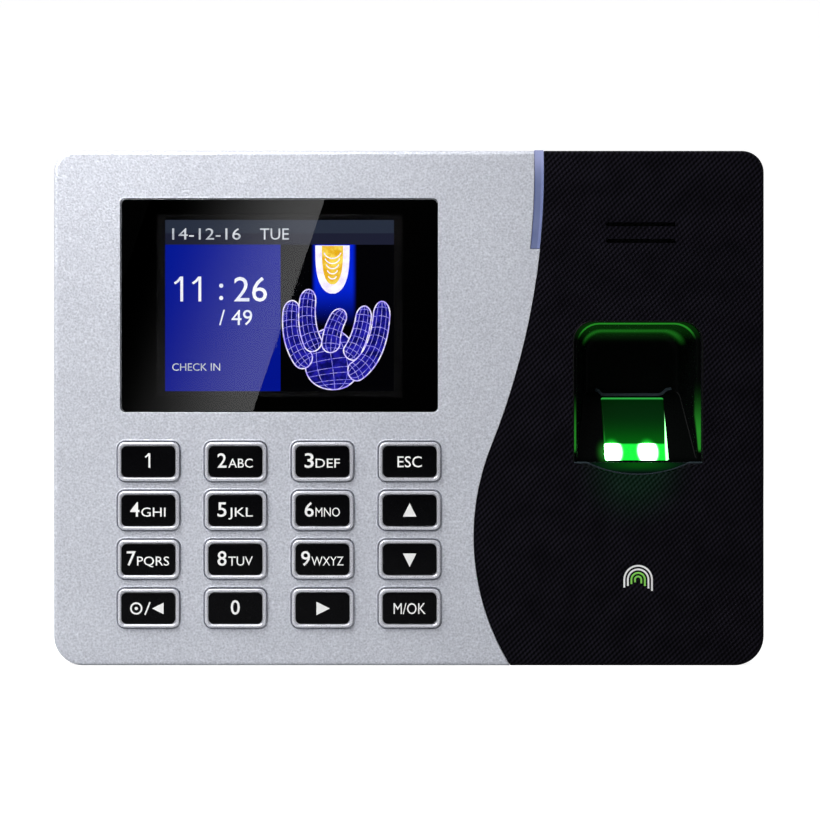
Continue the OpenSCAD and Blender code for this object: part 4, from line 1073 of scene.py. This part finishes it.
def recess_skin():
    """The moulded recess: from the middle of its back outside, out over the flange, in round the
    lip and back along the inside to the middle of the inner back wall."""
    wall = 1.5 * MM
    mouth = WALL + 0.03 * MM
    rings = [well_ring(WELL_DEPTH, wall)]
    rings[0][:, 1] += wall
    rings += [well_ring(depth, wall) for depth in np.linspace(WELL_DEPTH, mouth + wall, 6)]
    flange = well_ring(mouth, WELL_LAP)
    rings += [flange + [0, wall, 0], flange, well_ring(mouth, 0.4 * MM)]
    lip = 0.5 * MM
    rings += [well_ring(mouth + back, 0.0, lip + out) for out, back in quarter_turn(lip)[::-1]]
    fillet = 1.6 * MM
    depths = np.linspace(mouth + 2 * lip, WELL_DEPTH - fillet, 9)
    rings += [well_ring(depth, 0.0, lip) for depth in depths]
    angle = np.linspace(0, np.pi / 2, 6)[1:]
    rings += [well_ring(WELL_DEPTH - fillet * (1 - math.sin(a)), 0.0, lip + fillet * (1 - math.cos(a)))
              for a in angle]
    rings.append(drawn_in(rings[-1], 0.96)[0])
    return shell_mesh(np.stack(rings))


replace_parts(add_mesh("finger_recess", *recess_skin(), WELL_BLACK_AND_PAINTED_GLOW, "terminal", "gloss_black"), "finger_well")


def tilted(points):
    """From the glass's own axes (X, depth, up the slope) to the frame's."""
    cos, sin = math.cos(-GLASS_TILT), math.sin(-GLASS_TILT)
    x, y, z = points[..., 0], points[..., 1], points[..., 2]
    return np.stack([x, y * cos - z * sin, y * sin + z * cos], -1) + GLASS_AT


def sensor_glass():
    """The glass that the finger touches: a block with a rounded face edge, in its tilted plane."""
    points, normals = outline(GLASS_W, GLASS_L, (0.5 * MM,) * 2, (0.0, 0.0))
    edge = [(out, -GLASS_PROUD + back) for out, back in quarter_turn(0.35 * MM)]
    side = carried(points, normals, [(0.0, 7.0 * MM), (0.0, 5.0 * MM)] + edge)
    points, faces = shell_mesh(np.concatenate([side, drawn_in(side[-1], 0.99, 0.95, 0.4)]))
    return tilted(points), faces


glass = add_mesh("sensor_glass", *sensor_glass(), GLASS_GLOW, "terminal", "prism_glass")
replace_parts(glass, "sensor_prism")


def opening_line():
    """Edge of the finger opening on the panel's face: up the left side, round the top corners and
    down the right side."""
    left, right = FINGER_X - FINGER_W / 2, FINGER_X + FINGER_W / 2
    corner_z = FINGER_TOP - FINGER_R
    sides = np.linspace(0, 1, 12)[:, None]
    up = np.array([left, GLASS_LOW_Z]) + sides * [0, corner_z - GLASS_LOW_Z]
    first = ring_line((left + FINGER_R, corner_z), FINGER_R, np.pi, np.pi / 2, 10)
    second = ring_line((right - FINGER_R, corner_z), FINGER_R, np.pi / 2, 0, 10)
    down = np.array([right, corner_z]) + sides * [0, GLASS_LOW_Z - corner_z]
    return np.concatenate([up, first[1:], second, down[1:]])


def lip_line():
    """The lower lip: level at both sides, and between them an arc that dips by LIP_SAG."""
    x = np.linspace(-FINGER_W / 2, FINGER_W / 2, 61)
    radius = (LIP_HALF ** 2 + LIP_SAG ** 2) / (2 * LIP_SAG)
    arc = radius - LIP_SAG - np.sqrt(radius ** 2 - np.clip(x, -LIP_HALF, LIP_HALF) ** 2)
    return np.stack([FINGER_X + x, GLASS_LOW_Z + arc], 1)


def lip_floor():
    """A thin crescent of floor between the glass and the lower lip, laid at the panel's face; it is partly
    the floor's shape and partly a sheet for painted green light.
    """
    line = lip_line()
    inside = line[np.abs(line[:, 0] - FINGER_X) < LIP_HALF]
    return flat_mesh(inside + [0, 0.02 * MM], FRONT_Y - 0.03 * MM, 0.05 * MM)


def glass_brow():
    """The sensor frame's head above the glass: a flat bar whose ends turn up and outwards."""
    line = np.array([[-9.4, 1.9], [-8.6, 1.5], [-7.9, 0.5], [-6.9, 0.25],
                     [6.9, 0.25], [7.9, 0.6], [9.2, 1.9], [10.4, 2.1]]) * MM
    line[:, 1] += GLASS_L / 2 + 0.5 * MM
    points, faces = stroke_mesh(line, 0.75 * MM, -GLASS_PROUD - 0.1 * MM, 0.5 * MM)
    return tilted(points), faces


def line_normals(line):
    """Unit normals to the left of a line."""
    tangent = np.gradient(line, axis=0)
    tangent /= np.linalg.norm(tangent, axis=1, keepdims=True)
    return np.stack([-tangent[:, 1], tangent[:, 0]], 1)


def edge_bead(line, side):
    """Rolled edge along a line on the panel's face; side is 1 if the panel lies to its left."""
    return bead_mesh(line, side * line_normals(line), BEAD_R, 0.12 * MM, FRONT_Y + 0.19 * MM, closed=False)


add_mesh("opening_edge", *edge_bead(opening_line(), 1), EDGE_BLACK, "terminal", "gloss_black")
# The lip's rim is coloured lighter than the panel as a painted highlight.
add_mesh("lip_edge", *edge_bead(lip_line(), -1), BROW_AND_LIP_HIGHLIGHT, "terminal", "gloss_black")
# The crescent carries painted green light from the lamps.
add_mesh("lip_floor", *lip_floor(), LIP_PAINTED_GLOW, "terminal", "gloss_black")
add_mesh("glass_brow", *glass_brow(), BROW_AND_LIP_HIGHLIGHT, "terminal", "gloss_black")


MARK_WHITE = grained("mark_white", tone(214, 214, 214), tone(240, 240, 240), 0.2 * MM, 0.000003, dust=0.0)
MARK_GREEN = grained("mark_green", tone(96, 186, 60), tone(140, 214, 90), 0.2 * MM, 0.000003, dust=0.0)


def ridge_mark():
    """A plain fingertip sign printed under the recess: nested arches, the inner ones green."""
    centre = np.array([FINGER_X, -43.4 * MM])
    y = FRONT_Y - 0.02 * MM
    shapes = {"outer": [], "inner": []}
    for step in range(4):
        radius = (3.5 - 0.9 * step) * MM
        arch = ring_line(centre, radius, 0.0, np.pi, 20)
        tail = 0.7 * radius + 0.4 * MM
        legs = [arch[:1] - [0, tail], arch[-1:] - [0, tail * 0.7]]
        line = np.concatenate([legs[0], arch, legs[1]])
        shapes["inner" if step > 1 else "outer"].append(stroke_mesh(line, 0.45 * MM, y, 0.04 * MM))
    return shapes


for part, meshes in ridge_mark().items():
    ink = MARK_GREEN if part == "inner" else MARK_WHITE
    add_mesh("ridge_mark_" + part, *join_meshes(meshes), ink, "terminal", "white_plastic", smooth=False)


# ---------- Screws ----------

def screw_mesh(centre, axis, head_r, head_t, shank_r, shank_l):
    """Pan-head screw: a surface of radius and angle whose head is a shallow dome sunk by a cross.
    centre is the middle of the head's outer face and axis points out of it."""
    angle = np.linspace(0, 2 * np.pi, 49)[:-1]
    share = np.array([0.12, 0.25, 0.36, 0.46, 0.56, 0.62, 0.7, 0.8, 0.9, 0.96, 1.0])
    radius = share[:, None] * head_r * np.ones_like(angle)[None]
    height = -0.25 * head_t * share[:, None] ** 4 * np.ones_like(angle)[None]
    across = np.minimum(np.abs(np.sin(angle)), np.abs(np.cos(angle)))[None] * radius
    slot = (across < 0.14 * head_r) & (share[:, None] < 0.6)
    height = height - np.where(slot, 0.45 * head_t * (1 - 0.6 * share[:, None]), 0.0)
    rows = [(r, h) for r, h in zip(radius, height)]
    thread = np.linspace(0, 1, 40)
    rows += [(np.full(48, head_r), np.full(48, -head_t)), (np.full(48, shank_r), np.full(48, -head_t))]
    rows += [(np.full(48, shank_r * (1 - 0.06 * (step % 2))), np.full(48, -head_t - shank_l * t))
             for step, t in enumerate(thread)]
    local = np.stack([np.stack([r * np.cos(angle), r * np.sin(angle), h], -1) for r, h in rows])
    turn = Vector((0, 0, 1)).rotation_difference(Vector(axis)).to_matrix()
    points, faces = shell_mesh(local)
    return points @ np.array(turn).T + centre, faces


def case_screws():
    """The four screws sunk in the corners of the rear shell."""
    low, high = node_box("case_screws")
    head_r = 2.9 * MM
    return join_meshes([
        screw_mesh(np.array([x, high[1] - 1.8 * MM, z]), (0, 1, 0), head_r, 2.2 * MM, 1.45 * MM, 20 * MM)
        for x in (low[0] + head_r, high[0] - head_r) for z in (low[2] + head_r, high[2] - head_r)])


def lock_screw():
    """The screw that holds the terminal down on its wall plate, driven from below."""
    low, high = node_box("lock_screw")
    head_r = (high[0] - low[0]) / 2
    centre = np.array([(low[0] + high[0]) / 2, (low[1] + high[1]) / 2, low[2]])
    return screw_mesh(centre, (0, 0, -1), head_r, 2.1 * MM, 1.45 * MM, high[2] - low[2] - 2.1 * MM)


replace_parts(add_mesh("corner_screws", *case_screws(), STEEL, "terminal", "bright_metal"), "case_screws")
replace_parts(add_mesh("base_screw", *lock_screw(), STEEL, "terminal", "bright_metal"), "lock_screw")


# ---------- Studio ----------

def floor():
    """A pale floor that curves up into a backdrop well behind the object."""
    across = np.linspace(-4, 4, 9)
    bend = np.linspace(0, np.pi / 2, 13)
    run = np.concatenate([[-4.0], 1.6 + 0.8 * np.sin(bend), [2.4]])
    rise = np.concatenate([[0.0], 0.8 - 0.8 * np.cos(bend), [4.0]])
    x, y = np.meshgrid(across, run)
    z = np.broadcast_to(rise[:, None], x.shape)
    points = np.stack([x, y, z + FLOOR_Z], -1)
    rows, cols = x.shape
    index = np.arange(rows * cols).reshape(rows, cols)
    faces = np.stack([index[:-1, :-1], index[:-1, 1:], index[1:, 1:], index[1:, :-1]], -1).reshape(-1, 4)
    mesh = bpy.data.meshes.new("floor")
    mesh.from_pydata(points.reshape(-1, 3).tolist(), [], faces.tolist())
    mesh.polygons.foreach_set("use_smooth", np.full(len(mesh.polygons), True))
    material, tree, shader = fresh("pale_floor", Roughness=0.9, Specular_IOR_Level=0.0)
    fleck = put(tree, "ShaderNodeTexNoise", {"Vector": place(tree)[0], "Scale": 400.0}).outputs["Fac"]
    tree.links.new(mix(tree, fleck, (0.46, 0.46, 0.46, 1), (0.5, 0.5, 0.5, 1)), shader["Base Color"])
    shader["Emission Color"].default_value = (1.0, 1.0, 1.0, 1.0)
    seen = put(tree, "ShaderNodeLightPath").outputs["Is Camera Ray"]
    tree.links.new(plus(tree, seen, 0.86, 0.02), shader["Emission Strength"])
    mesh.materials.append(material)
    piece = bpy.data.objects.new("floor", mesh)
    bpy.context.scene.collection.objects.link(piece)
    return piece


def area_light(name, location, target, width, height, power):
    """A soft rectangular light aimed at a point."""
    light = bpy.data.lights.new(name, "AREA")
    light.shape = "RECTANGLE"
    light.size = width
    light.size_y = height
    light.energy = power
    holder = bpy.data.objects.new(name, light)
    holder.location = location
    holder.rotation_euler = (Vector(target) - Vector(location)).to_track_quat("-Z", "Y").to_euler()
    bpy.context.scene.collection.objects.link(holder)
    return holder


VIEW_DISTANCE = 0.42
VIEW_X = 0.29 * MM
VIEW_Z = -0.49 * MM
CARD_DISTANCE = 1.1


def reflected(x, z):
    """Where the camera sees by reflection in the window, at the card's distance in front of it."""
    spread = 1 + CARD_DISTANCE / VIEW_DISTANCE
    return VIEW_X + (x - VIEW_X) * spread, VIEW_Z + (z - VIEW_Z) * spread


def glare_card():
    """A glowing card behind the camera that only shows in reflections: its right edge is slanted and
    sharp, and it fades out to the left."""
    upper = reflected(-21.0 * MM, 53.5 * MM)
    lower = reflected(-39.8 * MM, -1.9 * MM)
    width = 0.16
    rows = [upper, (upper[0] - width, upper[1]), (lower[0] - width, lower[1]), lower]
    y = FRONT_Y - CARD_DISTANCE
    mesh = bpy.data.meshes.new("glare_card")
    mesh.from_pydata([(x, y, z) for x, z in rows], [], [(0, 1, 2, 3)])
    fade = mesh.attributes.new("fade", "FLOAT", "POINT")
    fade.data.foreach_set("value", [1.0, 0.0, 0.0, 1.0])
    material, tree, shader = fresh("card_glow", Base_Color=(0, 0, 0, 1), Specular_IOR_Level=0.0)
    share = put(tree, "ShaderNodeAttribute", attribute_name="fade").outputs["Fac"]
    glow = times(tree, calc(tree, "POWER", ease(tree, share, 0.0, 1.0), 2.0), 1.6)
    colour = put(tree, "ShaderNodeCombineColor", {0: glow, 1: glow, 2: glow}).outputs[0]
    tree.links.new(colour, shader["Emission Color"])
    shader["Emission Strength"].default_value = 1.0
    mesh.materials.append(material)
    card = bpy.data.objects.new("glare_card", mesh)
    bpy.context.scene.collection.objects.link(card)
    card.visible_camera = False
    card.visible_diffuse = False
    card.visible_shadow = False
    card.visible_transmission = False


def studio_world():
    """Soft light all round: bright above and at the sides, darker in front, white to the eye."""
    world = bpy.data.worlds.new("studio")
    world.use_nodes = True
    bpy.context.scene.world = world
    tree = world.node_tree
    back = tree.nodes["Background"]
    direction = put(tree, "ShaderNodeTexCoord").outputs["Generated"]
    _, y, z = put(tree, "ShaderNodeSeparateXYZ", {0: direction}).outputs
    front = ease(tree, y, -0.35, -0.95)
    upper = ease(tree, z, -0.3, 0.8)
    soft = plus(tree, upper, 0.55, 0.12)
    level = times(tree, soft, plus(tree, front, -0.96, 1.0))
    seen = put(tree, "ShaderNodeLightPath").outputs["Is Camera Ray"]
    colour = put(tree, "ShaderNodeCombineColor", {0: level, 1: level, 2: times(tree, level, 1.03)})
    tree.links.new(mix(tree, seen, colour.outputs[0], (1, 1, 1, 1)), back.inputs["Color"])


floor()
glare_card()
studio_world()
area_light("overhead", (-0.2, -0.19, 0.28), (-0.04, 0, 0.01), 0.3, 0.2, 1.9)
area_light("left_soft", (-0.75, -0.6, 0.4), (0, 0, 0), 0.4, 0.5, 1.5)
area_light("right_soft", (0.9, -0.45, 0.2), (0, 0, 0), 0.4, 0.7, 0.5)
area_light("back_soft", (0.35, 0.85, 0.5), (0, 0, 0), 0.6, 0.5, 4.0)

camera_data = bpy.data.cameras.new("camera")
camera_data.sensor_width = 36.0
camera_data.lens = 36.0 * VIEW_DISTANCE / 0.20745
camera = bpy.data.objects.new("camera", camera_data)
camera.location = (VIEW_X, FRONT_Y - VIEW_DISTANCE, VIEW_Z)
camera.rotation_euler = (math.pi / 2, 0, 0)
bpy.context.scene.collection.objects.link(camera)
bpy.context.scene.camera = camera
bpy.context.scene.view_settings.view_transform = "Standard"
bpy.context.scene.view_settings.look = "None"
